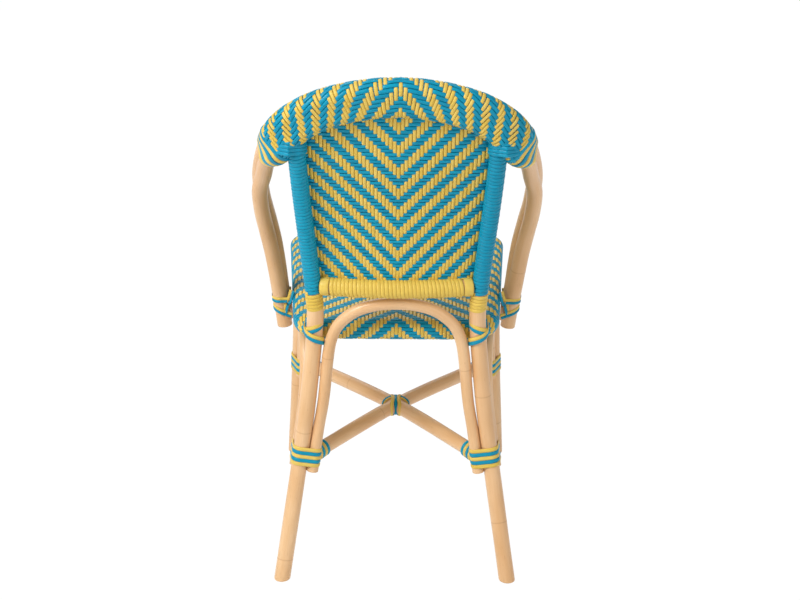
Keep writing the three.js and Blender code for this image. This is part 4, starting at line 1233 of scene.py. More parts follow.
def grid_surface(points: Array) -> Surface:
    """Reads a grid of points, whose columns close into a loop, as a smooth surface.

    Args:
        points: The grid, rows by columns by three.

    Returns:
        A function of a share of the rows and one of the columns that gives points.
    """
    rows, columns = points.shape[:2]

    def read(row_share: Array, column_share: Array) -> Array:
        """Gives the surface's points at shares of its rows and columns."""
        row = np.clip(row_share, 0.0, 1.0) * (rows - 1)
        r = np.clip(np.floor(row).astype(int), 0, rows - 2)
        rw = (row - r)[..., None]
        column = (column_share % 1.0) * columns
        c = np.floor(column).astype(int) % columns
        d = (c + 1) % columns
        cw = (column - np.floor(column))[..., None]
        low = points[r, c] * (1 - cw) + points[r, d] * cw
        high = points[r + 1, c] * (1 - cw) + points[r + 1, d] * cw
        return low * (1 - rw) + high * rw

    return read


@dataclass
class HoopPair:
    """The two hoop poles as one bundle, read station by station."""

    lower: Path = field(default_factory=LINES.lower_hoop)
    upper: Path = field(default_factory=LINES.upper_hoop)
    search: float = 0.08

    def station(self, share: float) -> tuple[Array, Array, Array, Array, float]:
        """A cross-section of the bundle.

        Args:
            share: The share of the lower pole's length.

        Returns:
            The lower pole's centre, its heading, the way to the other pole, the way beside both, and how
            far apart they stand.
        """
        centre = self.lower.at(share)
        along = self.lower.heading(share)
        low, high = max(share - self.search, 0.0), min(share + self.search, 1.0)
        beside = closing_in(lambda place: np.dot(self.upper.at(place) - centre, along) < 0, low, high)
        across = self.upper.at(beside) - centre
        across = across - along * np.dot(across, along)
        spacing = float(np.linalg.norm(across))
        across = across / spacing
        return centre, along, across, np.cross(along, across), spacing

    def ring(self, share: float, radius: float, count: int) -> tuple[Array, Array]:
        """Points evenly spaced round both poles, and the ways out from them.

        Args:
            share: The share of the lower pole's length.
            radius: The distance from the poles' centres.
            count: How many points.

        Returns:
            The points and the unit directions out.
        """
        centre, _, across, beside, spacing = self.station(share)
        arc = math.pi * radius
        whole = 2 * arc + 2 * spacing
        along = np.arange(count) / count * whole
        points = np.zeros((count, 3))
        out = np.zeros((count, 3))
        for k, place in enumerate(along):
            if place < arc:
                angle = place / radius
                way = across * math.sin(angle) + beside * math.cos(angle)
                points[k] = centre + across * spacing + way * radius
            elif place < arc + spacing:
                way = -beside
                points[k] = centre + across * (spacing - (place - arc)) + way * radius
            elif place < 2 * arc + spacing:
                angle = math.pi + (place - arc - spacing) / radius
                way = across * math.sin(angle) + beside * math.cos(angle)
                points[k] = centre + way * radius
            else:
                way = beside
                points[k] = centre + across * (place - 2 * arc - spacing) + way * radius
            out[k] = way
        return points, out


@dataclass
class CrownWeave:
    """The woven sleeve over both hoop poles, from arm to arm.

    Its wefts run along the hoop and slowly turn round it towards the arms. The counts of warps and the
    wefts' turn are given by the distance from the middle.
    """

    palette: Palette
    pair: HoopPair
    radius: float = 16.9
    wefts: int = 24
    last_warp: int = 37
    middle: float = -3.8
    start_weft: int = 5
    distances: tuple[float, ...] = (0.0, 42.0, 72.0, 95.0, 116.0, 139.0, 162.0, 195.0, 230.0)
    warp_counts: tuple[float, ...] = (0.0, 6.6, 11.9, 16.1, 20.1, 24.4, 28.7, 35.0, 41.6)
    turned: tuple[float, ...] = (0.0, 0.9, 1.6, 3.4, 5.4, 7.1, 8.8, 10.3, 11.8)
    skews: tuple[float, ...] = (0.0, 0.13, 0.22, 0.22, 0.2, 0.12, -0.03, -0.15, -0.15)
    half_height: float = 22.0
    top_share: float = 0.12
    rows: int = 240
    corners: int = 96

    def build(self) -> None:
        """Weaves the sleeve."""
        reach = self.distances[-1] + self.half_height
        hoop = self.pair.lower.length
        shares = np.linspace(0.5 - reach / hoop, 0.5 + reach / hoop, self.rows)
        grid = np.array([self.pair.ring(float(share), self.radius, self.corners)[0] for share in shares])
        read = grid_surface(grid)
        wefts = self.wefts

        def surface(warp: Array, weft: Array) -> Array:
            """Gives the points of the sleeve by warp and weft."""
            away = np.interp(np.abs(warp), self.warp_counts, self.distances)
            round_share = (weft + 0.5 + np.interp(away, self.distances, self.turned)) / wefts
            height = self.half_height * np.cos((round_share - self.top_share) * math.tau)
            away = away + np.interp(away, self.distances, self.skews) * height
            place = away * np.sign(warp) + self.middle
            return read(0.5 + place / reach / 2, round_share)

        twill = Twill(warp_width=6.1, weft_width=6.9, phase=-self.start_weft)
        sheet = WovenSheet(self.palette, "crown_weave", twill, surface, seed=3)
        middle = grid[len(grid) // 2].mean(axis=0)
        sheet.face(0.1, 0.0, surface(np.array([0.1]), np.array([0.0]))[0] - middle)
        warps, edges = Batch(), Batch()
        last = self.last_warp
        for warp in range(-last, last + 1):
            places = np.arange(wefts * twill.samples) / twill.samples
            warps.add(sheet.strand(warp, places, True, True))
        for weft in range(wefts):
            places = np.linspace(-last - 0.5, last + 0.5, (2 * last + 1) * twill.samples + 1)
            edges.add(sheet.strand(weft, places, False, False))
        sheet.finish(warps, edges)


@dataclass
class BackWeave:
    """The woven panel between the posts, from the rail up into the crown."""

    palette: Palette
    pair: HoopPair
    front: float = 7.0
    warps: int = 47
    weft_pitch: float = 6.32
    base: float = 540.3
    middle: float = -1.8
    wrap: float = 15.0
    cover: float = 19.0
    tuck: float = 4.0
    crown_share: float = 0.88
    crown_points: int = 800
    levels: int = 120
    level_drop: float = 10.0
    slope_span: int = 8
    overhang: float = 0.7
    side_reach: float = 0.9
    row_points: int = 60
    least: int = 3
    upper_weft: float = 38.0

    def top(self, sides: Array) -> Array:
        """The height at which the panel meets the crown, at places from side to side."""
        centres = self.pair.lower.at(np.linspace(0.0, 1.0, self.crown_points))
        centres = centres[centres[:, 2] > LINES.crown_height * self.crown_share]
        heights = []
        for side in np.atleast_1d(sides):
            aside = np.abs(side - centres[:, 0])
            near = aside < self.cover
            heights.append(np.min(centres[near, 2] - np.sqrt(self.cover**2 - aside[near] ** 2)))
        return np.array(heights)

    def build(self) -> None:
        """Weaves the panel."""
        post = LINES.post_line(RIGHT)
        base = self.base
        levels = np.linspace(base - self.level_drop, LINES.post_height, self.levels)
        posts = np.array([post.at_height(level) for level in levels])
        slope = posts[-1] - posts[-self.slope_span]
        half_count = self.warps / 2

        def surface(warp: Array, weft: Array) -> Array:
            """Gives the points of the panel by warp and weft."""
            across = (warp + self.middle / self.weft_pitch) / half_count
            up = base + (weft + 0.5) * self.weft_pitch
            half = np.interp(up, levels, posts[:, 0]) - self.wrap
            depth = np.interp(up, levels, posts[:, 1]) - self.front + LINES.rail_bow * (1 - across**2)
            above = np.maximum(up - levels[-1], 0.0)
            depth = depth + above * slope[1] / slope[2]
            return np.stack([across * half, depth, up], axis=-1)

        twill = Twill(warp_width=5.95)
        sheet = WovenSheet(self.palette, "back_weave", twill, surface, seed=7)
        sheet.face(0.0, 10.0, np.array([0.0, 1.0, 0.0]))
        warps, wefts = Batch(), Batch()
        count = self.warps // 2
        for warp in range(-count - 1, count + 2):
            near = surface(np.array([float(warp)]), np.array([self.upper_weft]))[0]
            top = self.top(near[:1])[0] + self.tuck
            last = (top - base) / self.weft_pitch - 0.5
            places = np.linspace(-self.overhang, last, int((last + self.overhang) * twill.samples) + 1)
            warps.add(sheet.strand(warp, places, True, False))
        weft = 0
        while True:
            across = np.linspace(0.0, 1.0, self.row_points) * half_count
            row = surface(across, np.full_like(across, float(weft)))
            inside = across[self.top(row[:, 0]) + self.tuck > row[:, 2]]
            if len(inside) < self.least:
                break
            reach = inside.max() + (self.side_reach if inside.max() >= half_count else 0.0)
            places = np.linspace(-reach, reach, int(2 * reach * twill.samples) + 1)
            wefts.add(sheet.strand(weft, places, False, False))
            weft += 1
        sheet.finish(warps, wefts)


@dataclass
class SeatWeave:
    """The woven seat, which rolls over the pole round its edge and under it."""

    palette: Palette
    outline: SeatOutline = field(default_factory=SeatOutline)
    warp_pitch: float = 6.25
    weft_pitch: float = 6.1
    first_bar: float = 6.5
    roll: float = 16.9
    lip: float = 7.0
    side_roll: float = 0.95
    last_warp: int = 38
    first_weft: int = -16
    end_weft: int = 84
    half_run: int = 50
    least: int = 5
    side_facing: float = 0.9
    level_from: float = 0.85
    level_span: float = 0.1
    roll_span: float = 0.25
    hair: float = 1e-6

    def developed(self, across: Array, fore: Array) -> tuple[Array, Array, Array]:
        """Rolls a flat place over the seat's edge.

        Args:
            across: Distance from the seat's middle line over the sheet.
            fore: Distance forward over the sheet.

        Returns:
            The point, the angle rolled so far, and how far the roll faces the side.
        """
        (rear_side, rear_fore), (front_side, front_fore) = self.outline.cores()
        near_fore = np.clip(fore, rear_fore, front_fore)
        share = (near_fore - rear_fore) / (front_fore - rear_fore)
        core = rear_side + (front_side - rear_side) * share
        corner = self.outline.rear_corner + (self.outline.front_corner - self.outline.rear_corner) * share
        near_side = np.clip(across, -core, core)
        away_side, away_fore = across - near_side, fore - near_fore
        distance = np.hypot(away_side, away_fore)
        flat = corner - LINES.seat_edge
        angle = np.clip((distance - flat) / self.roll, 0.0, math.pi)
        under = np.maximum(distance - flat - math.pi * self.roll, 0.0)
        plan = np.where(distance > flat, flat + self.roll * np.sin(angle) - under, distance)
        drop = LINES.seat_edge - np.where(distance > flat, self.roll * np.cos(angle), self.roll)
        safe = np.maximum(distance, self.hair)
        way_side, way_fore = away_side / safe, away_fore / safe
        side = near_side + way_side * plan
        ahead = near_fore + way_fore * plan
        points = np.stack([side, SHIFT - ahead, LINES.seat_level(ahead) - drop], axis=-1)
        return points, np.where(distance > flat, (distance - flat) / self.roll, 0.0), np.abs(way_side)

    def build(self) -> None:
        """Weaves the seat."""
        start = LINES.seat_start + self.first_bar

        def flat_place(warp: Array, weft: Array) -> tuple[Array, Array]:
            """Gives a place on the sheet laid flat, across and forward."""
            return warp * self.warp_pitch, start + (weft + 0.5) * self.weft_pitch

        def surface(warp: Array, weft: Array) -> Array:
            """Gives the points of the seat by warp and weft."""
            return self.developed(*flat_place(warp, weft))[0]

        twill = Twill(lean=1, phase=3, warp_width=6.1, weft_width=6.3, rise=0.55, thickness=1.6)
        sheet = WovenSheet(self.palette, "seat_weave", twill, surface, seed=9)
        sheet.face(0.0, 20.0, UP)
        limit = math.pi + self.lip / self.roll
        warps, wefts = Batch(), Batch()
        crossings = self.end_weft - self.first_weft
        for warp in range(-self.last_warp, self.last_warp + 1):
            places = np.linspace(self.first_weft, self.end_weft, crossings * twill.samples + 1)
            _, angle, sideness = self.developed(*flat_place(np.full_like(places, float(warp)), places))
            kept = (angle < limit) & ~((sideness > self.side_facing) & (angle > self.side_roll))
            for run in runs(kept, self.least):
                warps.add(sheet.strand(warp, places[run], True, False))
        for weft in range(self.first_weft, self.end_weft):
            places = np.linspace(-self.half_run, self.half_run, 2 * self.half_run * twill.samples + 1)
            _, angle, sideness = self.developed(*flat_place(places, np.full_like(places, float(weft))))
            level = ease((sideness - self.level_from) / self.level_span)
            level = level * ease((angle - self.side_roll) / self.roll_span)
            for run in runs(angle < limit, self.least):
                wefts.add(sheet.strand(weft, places[run], False, False, level[run]))
        sheet.finish(warps, wefts)


def runs(kept: Array, least: int) -> list[slice]:
    """Finds the unbroken stretches of kept places.

    Args:
        kept: Whether each place is kept.
        least: The fewest places in a stretch.

    Returns:
        One slice for each stretch.
    """
    found = []
    start: Optional[int] = None
    for k, keep in enumerate([*kept.tolist(), False]):
        if keep and start is None:
            start = k
        elif not keep and start is not None:
            if k - start >= least:
                found.append(slice(start, k))
            start = None
    return found


# Wound strips


@dataclass
class Windings:
    """Strips wound round the posts and the back rail."""

    palette: Palette
    per_turn: int = 28
    thickness: float = 1.5
    post_pitch: float = 6.3
    collar_pitch: float = 6.2
    rail_pitch: float = 6.35
    saddle_width: float = 15.5
    wrap_top: float = 779.0
    collar_high: float = 519.0
    collar_low: float = 487.5
    rail_pad: float = 1.1
    waver: float = 0.14
    sink: float = 0.1
    cover: float = 1.03
    collar_lift: float = 0.4
    saddle_lap: float = 1.0
    saddle_lift: float = 0.6
    saddle_tone: float = 0.6
    saddle_corners: int = 64

    def shell(self, path: Path, start: float, end: float, radius: float, pitch: float, seed: int) -> Shell:
        """Winds one strip along a stretch of a pole.

        Args:
            path: The pole's line.
            start: The share at which the winding starts.
            end: The share at which it ends.
            radius: The pole's radius.
            pitch: The distance from turn to turn.
            seed: Seeds its shade.

        Returns:
            The strip as one closed body.
        """
        turns = abs(end - start) * path.length / pitch
        count = int(turns * self.per_turn)
        shares = np.linspace(start, end, count)
        angles = np.linspace(0.0, turns * math.tau, count)
        headings = path.heading(shares)
        aside, beside = cross_axes(headings)
        out = aside * np.cos(angles)[:, None] + beside * np.sin(angles)[:, None]
        wave = self.waver * np.sin(angles / 2 + seed) - self.sink
        centres = path.at(shares) + out * (radius + self.thickness / 2 + wave)[:, None]
        outline = wound_outline(pitch * self.cover, self.thickness)
        return strip_shell(centres, headings, out, outline, False, random.Random(seed).random())

    def build(self) -> None:
        """Winds the posts, their collars and the rail."""
        for word, hand in HANDS:
            post = LINES.post_line(hand)
            top, high, low = (post.share_at(up) for up in (self.wrap_top, self.collar_high, self.collar_low))
            wrap, collar = Batch(), Batch()
            radius = LINES.post - Poles.neck
            wrap.add(self.shell(post, high, top, radius, self.post_pitch, 61 + hand))
            collar.add(self.shell(post, low, high, radius + self.collar_lift, self.collar_pitch, 65 + hand))
            piece = wrap.write(f"post_winding_{word}")
            self.palette.dress(piece, Finish.BLUE, "blue_strip", f"post_wrap_{word}")
            piece = collar.write(f"post_collar_strips_{word}")
            self.palette.dress(piece, Finish.YELLOW, "yellow_strip", f"post_collar_{word}")
        rail = LINES.rail_line()
        batch = Batch()
        inset = (self.saddle_width - self.saddle_lap) / rail.length
        batch.add(self.shell(rail, inset, 1.0 - inset, LINES.rail + self.rail_pad, self.rail_pitch, 71))
        reach = LINES.rail + self.rail_pad + self.thickness * self.saddle_lift
        for share in (inset / 2, 1 - inset / 2):
            along = rail.heading(share)
            ring = rail.at(share) + round_ways(along, self.saddle_corners) * reach
            batch.add(band_shell(ring, along, self.saddle_width, self.thickness, True, self.saddle_tone))
        self.palette.dress(batch.write("back_rail_winding"), Finish.YELLOW, "yellow_strip", "back_rail_wrap")


# Bindings and lashings


CIRCLE_CORNERS = 72


def around_bundle(circles: Sequence[tuple[float, float, float]], grow: float, count: int) -> Array:
    """The tight outline round several circles, evenly spaced.

    Args:
        circles: Each circle as x, y and radius.
        grow: How far outside them it lies.
        count: How many points.

    Returns:
        The outline's points, turning anticlockwise.
    """
    angles = round_angles(CIRCLE_CORNERS)
    cloud = sorted(
        {
            (round(x + math.cos(a) * (radius + grow), 5), round(y + math.sin(a) * (radius + grow), 5))
            for x, y, radius in circles
            for a in angles
        }
    )

    def chain(points: list[tuple[float, float]]) -> list[tuple[float, float]]:
        """Keeps the points of one side of the outline, without its last."""
        kept: list[tuple[float, float]] = []
        for p in points:
            while len(kept) > 1:
                (ax, ay), (bx, by) = kept[-2:]
                if (bx - ax) * (p[1] - ay) > (by - ay) * (p[0] - ax):
                    break
                kept.pop()
            kept.append(p)
        return kept[:-1]

    hull = np.array([*chain(cloud), *chain(cloud[::-1])])
    return level_path(np.vstack([hull, hull[:1]])).at(np.arange(count) / count)[:, :2]


def band_shell(
    points: Array, axis: Array, width: float, thickness: float, closed: bool, tone: float,
    widen: Array | float = 1.0,
) -> Shell:
    """Lays a strip flat along a line that runs round an axis.

    Args:
        points: The strip's middle line.
        axis: The direction of the strip's width, one or one for each point.
        width: Its width.
        thickness: Its thickness.
        closed: Whether it is a closed loop.
        tone: Its own shade.
        widen: How much wider it is at each point.

    Returns:
        The strip as a closed body.
    """
    if closed:
        run = unit(np.roll(points, -1, axis=0) - np.roll(points, 1, axis=0))
    else:
        run = unit(np.gradient(points, axis=0))
    across = square_to(np.broadcast_to(axis, points.shape), run)
    out = np.cross(run, across)
    middle = points.mean(axis=0)
    if np.sum(out * (points - middle)) < 0:
        out = -out
    return strip_shell(points, across, out, wound_outline(width, thickness), closed, tone, widen)


@dataclass
class LegBindings:
    """Striped rings round each leg and the feet of its arches."""

    palette: Palette
    strips: int = 5
    pitch: float = 6.9
    thickness: float = 1.9
    sway: float = 0.5
    sway_step: float = 0.4
    cover: float = 1.02
    corners: int = 96

    def bundle(
        self, line: Path, radius: float, height: float, arches: Sequence[tuple[Path, float, float]], seed: int
    ) -> tuple[Batch, Batch]:
        """Binds one leg, yellow strips outermost.

        Args:
            line: The leg's line.
            radius: Its radius.
            height: The height of the binding's middle.
            arches: Each arch beside it, with the two shares that its foot lies between.
            seed: Seeds the strips' sway and shades.

        Returns:
            The blue and the yellow strips.
        """
        blue, yellow = Batch(), Batch()
        share = line.share_at(height)
        centre, along = line.at(share), line.heading(share)
        aside, beside = (axis[0] for axis in cross_axes(along[None, :]))
        poles = [(line, 0.0, 1.0, radius), *[(*arch, LINES.arch) for arch in arches]]
        for k in range(self.strips):
            origin = centre + along * ((k - (self.strips - 1) / 2) * self.pitch)
            circles = []
            for path, low, high, size in poles:
                place = self.crossing(path, origin, along, low, high)
                circles.append((float(np.dot(place, aside)), float(np.dot(place, beside)), size))
            loop = around_bundle(circles, self.thickness / 2 + FIT, self.corners)
            lift = self.sway * np.sin(round_angles(self.corners) + seed + k * self.sway_step)
            points = origin + loop[:, :1] * aside + loop[:, 1:] * beside + along * lift[:, None]
            tone = random.Random(seed * 10 + k).random()
            target = yellow if k % 2 == 0 else blue
            target.add(band_shell(points, along, self.pitch * self.cover, self.thickness, True, tone))
        return blue, yellow

    def crossing(self, path: Path, origin: Array, along: Array, low: float, high: float) -> Array:
        """Where a line passes through a plane, from the plane's origin.

        Args:
            path: The line.
            origin: A point of the plane.
            along: The way square to the plane.
            low: The share of the line from which the place is looked for.
            high: The share up to which it is.

        Returns:
            The way from the origin to the place.
        """
        rises = np.dot(path.at(high) - path.at(low), along) > 0
        share = closing_in(lambda place: (np.dot(path.at(place) - origin, along) < 0) == rises, low, high)
        return path.at(share) - origin

    def build(self) -> None:
        """Binds the four legs."""
        rear_arch, front_arch = LINES.rear_arch(), LINES.front_arch()
        for word, hand in HANDS:
            side = LINES.side_arch(hand)
            near = (0.0, 0.3) if hand == RIGHT else (1.0, 0.7)
            legs = (
                ("rear", LINES.post_line(hand), LINES.post, LINES.binding_rear,
                 [(rear_arch, *near), (side, 0.0, 0.3)]),
                ("front", LINES.leg_line(hand), LINES.leg, LINES.binding_front,
                 [(front_arch, *near), (side, 1.0, 0.7)]),
            )
            for end, line, radius, height, arches in legs:
                strips = self.bundle(line, radius, height, arches, 80 + hand + len(end))
                self.palette.stripes(f"{end}_leg_binding_{word}", *strips)


@dataclass
class StretcherBindings:
    """Rings of strip at the stretchers' ends and the lashing over their crossing."""

    palette: Palette
    pitch: float = 6.4
    thickness: float = 2.2
    rings: int = 6
    flare: float = 0.4
    band: float = 6.4
    pinch: float = 0.3
    arc_reaches: tuple[float, float] = (22.0, 25.0)
    arc_places: tuple[float, float] = (6.0, 12.0)
    arc_tones: tuple[float, float] = (0.3, 0.7)
    arc_lift: float = 1.4
    arc_bow: float = 0.5
    band_reach: float = 1.0
    band_lift: float = 2.9
    band_thickness: float = 1.6
    squareness: float = 0.9
    first_ring: float = 1.5
    cover: float = 1.03
    ring_corners: int = 64
    lashing_corners: int = 96
    search_steps: int = 20

    def end_rings(self, line: Path, from_start: bool, node: str, seed: int) -> None:
        """Rings one end of a stretcher, blue and yellow in turn."""
        blue, yellow = Batch(), Batch()
        for k in range(self.rings):
            distance = self.first_ring + (k + 0.5) * self.pitch
            share = distance / line.length if from_start else 1 - distance / line.length
            centre, along = line.at(share), line.heading(share)
            swell = (self.rings - k) * self.flare
            reach = LINES.stretcher + self.thickness / 2 + swell
            points = centre + round_ways(along, self.ring_corners) * reach
            target = yellow if k % 2 == 0 else blue
            tone = random.Random(seed + k).random()
            target.add(band_shell(points, along, self.pitch * self.cover, self.thickness, True, tone))
        self.palette.stripes(node, blue, yellow)

    def crossing(self) -> None:
        """Lashes the crossing: arcs from side to side, and a pinched band from front to rear over them."""
        line, other = LINES.stretcher_line(RIGHT), LINES.stretcher_line(LEFT)
        share = 0.5
        for _ in range(self.search_steps):
            share -= line.at(share)[0] / (line.at(1.0)[0] - line.at(0.0)[0])
        centre = line.at(share)
        forward = unit(line.heading(share) + other.heading(0.5))
        aside = np.cross(UP, forward)
        angles = round_angles(self.lashing_corners)
        level = np.abs(np.cos(angles)) ** self.squareness * np.sign(np.cos(angles))
        blue, yellow = Batch(), Batch()
        rise = LINES.stretcher + self.arc_lift
        arcs = zip((yellow, blue), self.arc_places, self.arc_reaches, self.arc_tones)
        for target, place, side, tone in arcs:
            points = (
                centre
                + aside * (level * side)[:, None]
                + UP * (np.sin(angles) * rise)[:, None]
                + forward * (place - np.abs(level) * place * self.arc_bow)[:, None]
            )
            target.add(band_shell(points, forward, self.band, self.band_thickness, True, tone))
        cosine = float(np.dot(forward, line.heading(share)))
        width, thickness = self.band * self.cover, self.band_thickness
        for k, target in ((-1, yellow), (0, blue), (1, yellow)):
            spread = k * self.band * (1.0 - self.pinch + 2 * self.pinch * np.abs(level))
            reach = (LINES.stretcher + self.band_reach + abs(k) * self.band * cosine) / math.sqrt(1 - cosine**2)
            points = (
                centre
                + forward * (level * reach)[:, None]
                + UP * (np.sin(angles) * (LINES.stretcher + self.band_lift))[:, None]
                + aside * spread[:, None]
            )
            target.add(band_shell(points, aside, width, thickness, True, 0.5 + 0.2 * k))
        self.palette.stripes("cross_lashing", blue, yellow)

    def build(self) -> None:
        """Binds the stretchers."""
        for (rear_word, front_word), hand in ((("right", "left"), RIGHT), (("left", "right"), LEFT)):
            line = LINES.stretcher_line(hand)
            self.end_rings(line, True, f"stretcher_binding_rear_{rear_word}", 100 + hand)
            self.end_rings(line, False, f"stretcher_binding_front_{front_word}", 110 + hand)
        self.crossing()


@dataclass
class ArmBindings:
    """Striped rings round both arm poles, and the strips from them to the posts' tops."""

    palette: Palette
    pair: HoopPair
    strips: int = 6
    inner_start: float = 207.0
    outer_start: float = 203.0
    inner_pitch: float = 7.8
    outer_pitch: float = 11.0
    outer_growth: float = 1.35
    widest: float = 1.95
    strip: float = 7.7
    thickness: float = 1.9
    first_reach: float = 18.8
    last_reach: float = 15.6
    outer_way: tuple[float, float, float] = (0.75, 0.1, 0.65)
    shoulder_low: float = 774.5
    shoulder_high: float = 797.3
    shoulder_strips: int = 5
    shoulder_from: float = 172.0
    shoulder_to: float = 209.0
    shoulder_lift: float = 19.6
    shoulder_sink: float = 17.0
    shoulder_tuck: float = 1.3
    shoulder_cover: float = 1.05
    shoulder_points: tuple[int, int, int] = (26, 14, 64)
    post_angles: tuple[float, float] = (235.0, 92.0)
    nearest: float = 190.0
    furthest: float = 290.0
    rows: int = 26
    corners: int = 96

    def rings(self, word: str, hand: int) -> None:
        """Binds one arm just below the crown, where the strips fan out round the outside of the bend."""
        hoop, last = self.pair.lower, self.strips - 1
        shares = 0.5 + hand * np.linspace(self.nearest, self.furthest, self.rows) / hoop.length
        outer_way = unit(np.array(self.outer_way) * np.array([hand, 1.0, 1.0]))
        blue, yellow = Batch(), Batch()
        for k in range(self.strips):
            reach = self.first_reach + (self.last_reach - self.first_reach) * k / last
            sleeve = [self.pair.ring(float(share), reach, self.corners) for share in shares]
            read = grid_surface(np.array([points for points, _ in sleeve]))
            outer = 0.5 + 0.5 * sleeve[len(shares) // 3][1] @ outer_way
            inner_place = self.inner_start + k * self.inner_pitch
            outer_place = self.outer_start + (k / last) ** self.outer_growth * last * self.outer_pitch
            places = inner_place + (outer_place - inner_place) * outer
            row_shares = (places - self.nearest) / (self.furthest - self.nearest)
            points = read(row_shares, np.arange(self.corners) / self.corners)
            local = self.outer_growth * (k / last) ** (self.outer_growth - 1.0) * self.outer_pitch
            pitches = self.inner_pitch + (max(local, self.inner_pitch) - self.inner_pitch) * outer
            axis = hoop.heading(0.5 + hand * places / hoop.length)
            target = blue if k % 2 == 0 else yellow
            tone = random.Random(120 + k + hand).random()
            widen = np.minimum(pitches / self.inner_pitch, self.widest)
            target.add(band_shell(points, axis, self.strip, self.thickness, True, tone, widen))
        self.palette.stripes(f"arm_binding_{word}", blue, yellow)

    def shoulder(self, word: str, hand: int) -> None:
        """Lays level strips from a post's top over the crown's end to the arm."""
        post, hoop = LINES.post_line(RIGHT), self.pair.lower
        batch = Batch()
        heights = np.linspace(self.shoulder_low, self.shoulder_high, self.shoulder_strips)
        width = (heights[1] - heights[0]) * self.shoulder_cover
        reach = LINES.post + self.thickness
        on_post, on_crown, on_strip = self.shoulder_points
        shares = 0.5 + np.linspace(self.shoulder_from, self.shoulder_to, on_crown) / hoop.length
        along = hoop.heading(shares)[:, :2]
        aside = unit(np.column_stack([-along[:, 1], along[:, 0]]))
        angles = np.linspace(*(math.radians(angle) for angle in self.post_angles), on_post)
        for k, height in enumerate(heights):
            centre = post.at_height(min(height, LINES.post_height - 1.0))
            wrap = np.column_stack([centre[0] + np.cos(angles) * reach, centre[1] + np.sin(angles) * reach])
            lift = np.linspace(self.shoulder_lift, self.shoulder_sink, on_crown)[:, None]
            lift -= self.shoulder_tuck * max(k - 2, 0)
            over = hoop.at(shares)[:, :2] + aside * lift
            line = level_path(np.vstack([wrap, over]), height).at(np.linspace(0.0, 1.0, on_strip))
            line[:, 0] *= hand
            tone = random.Random(130 + k).random()
            batch.add(band_shell(line, UP, width, self.thickness, False, tone))
        node = f"shoulder_lashing_{word}"
        self.palette.dress(batch.write(f"{node}_strips"), Finish.BLUE, "blue_strip", node)

    def build(self) -> None:
        """Binds both arms."""
        for word, hand in HANDS:
            self.rings(word, hand)
            self.shoulder(word, hand)


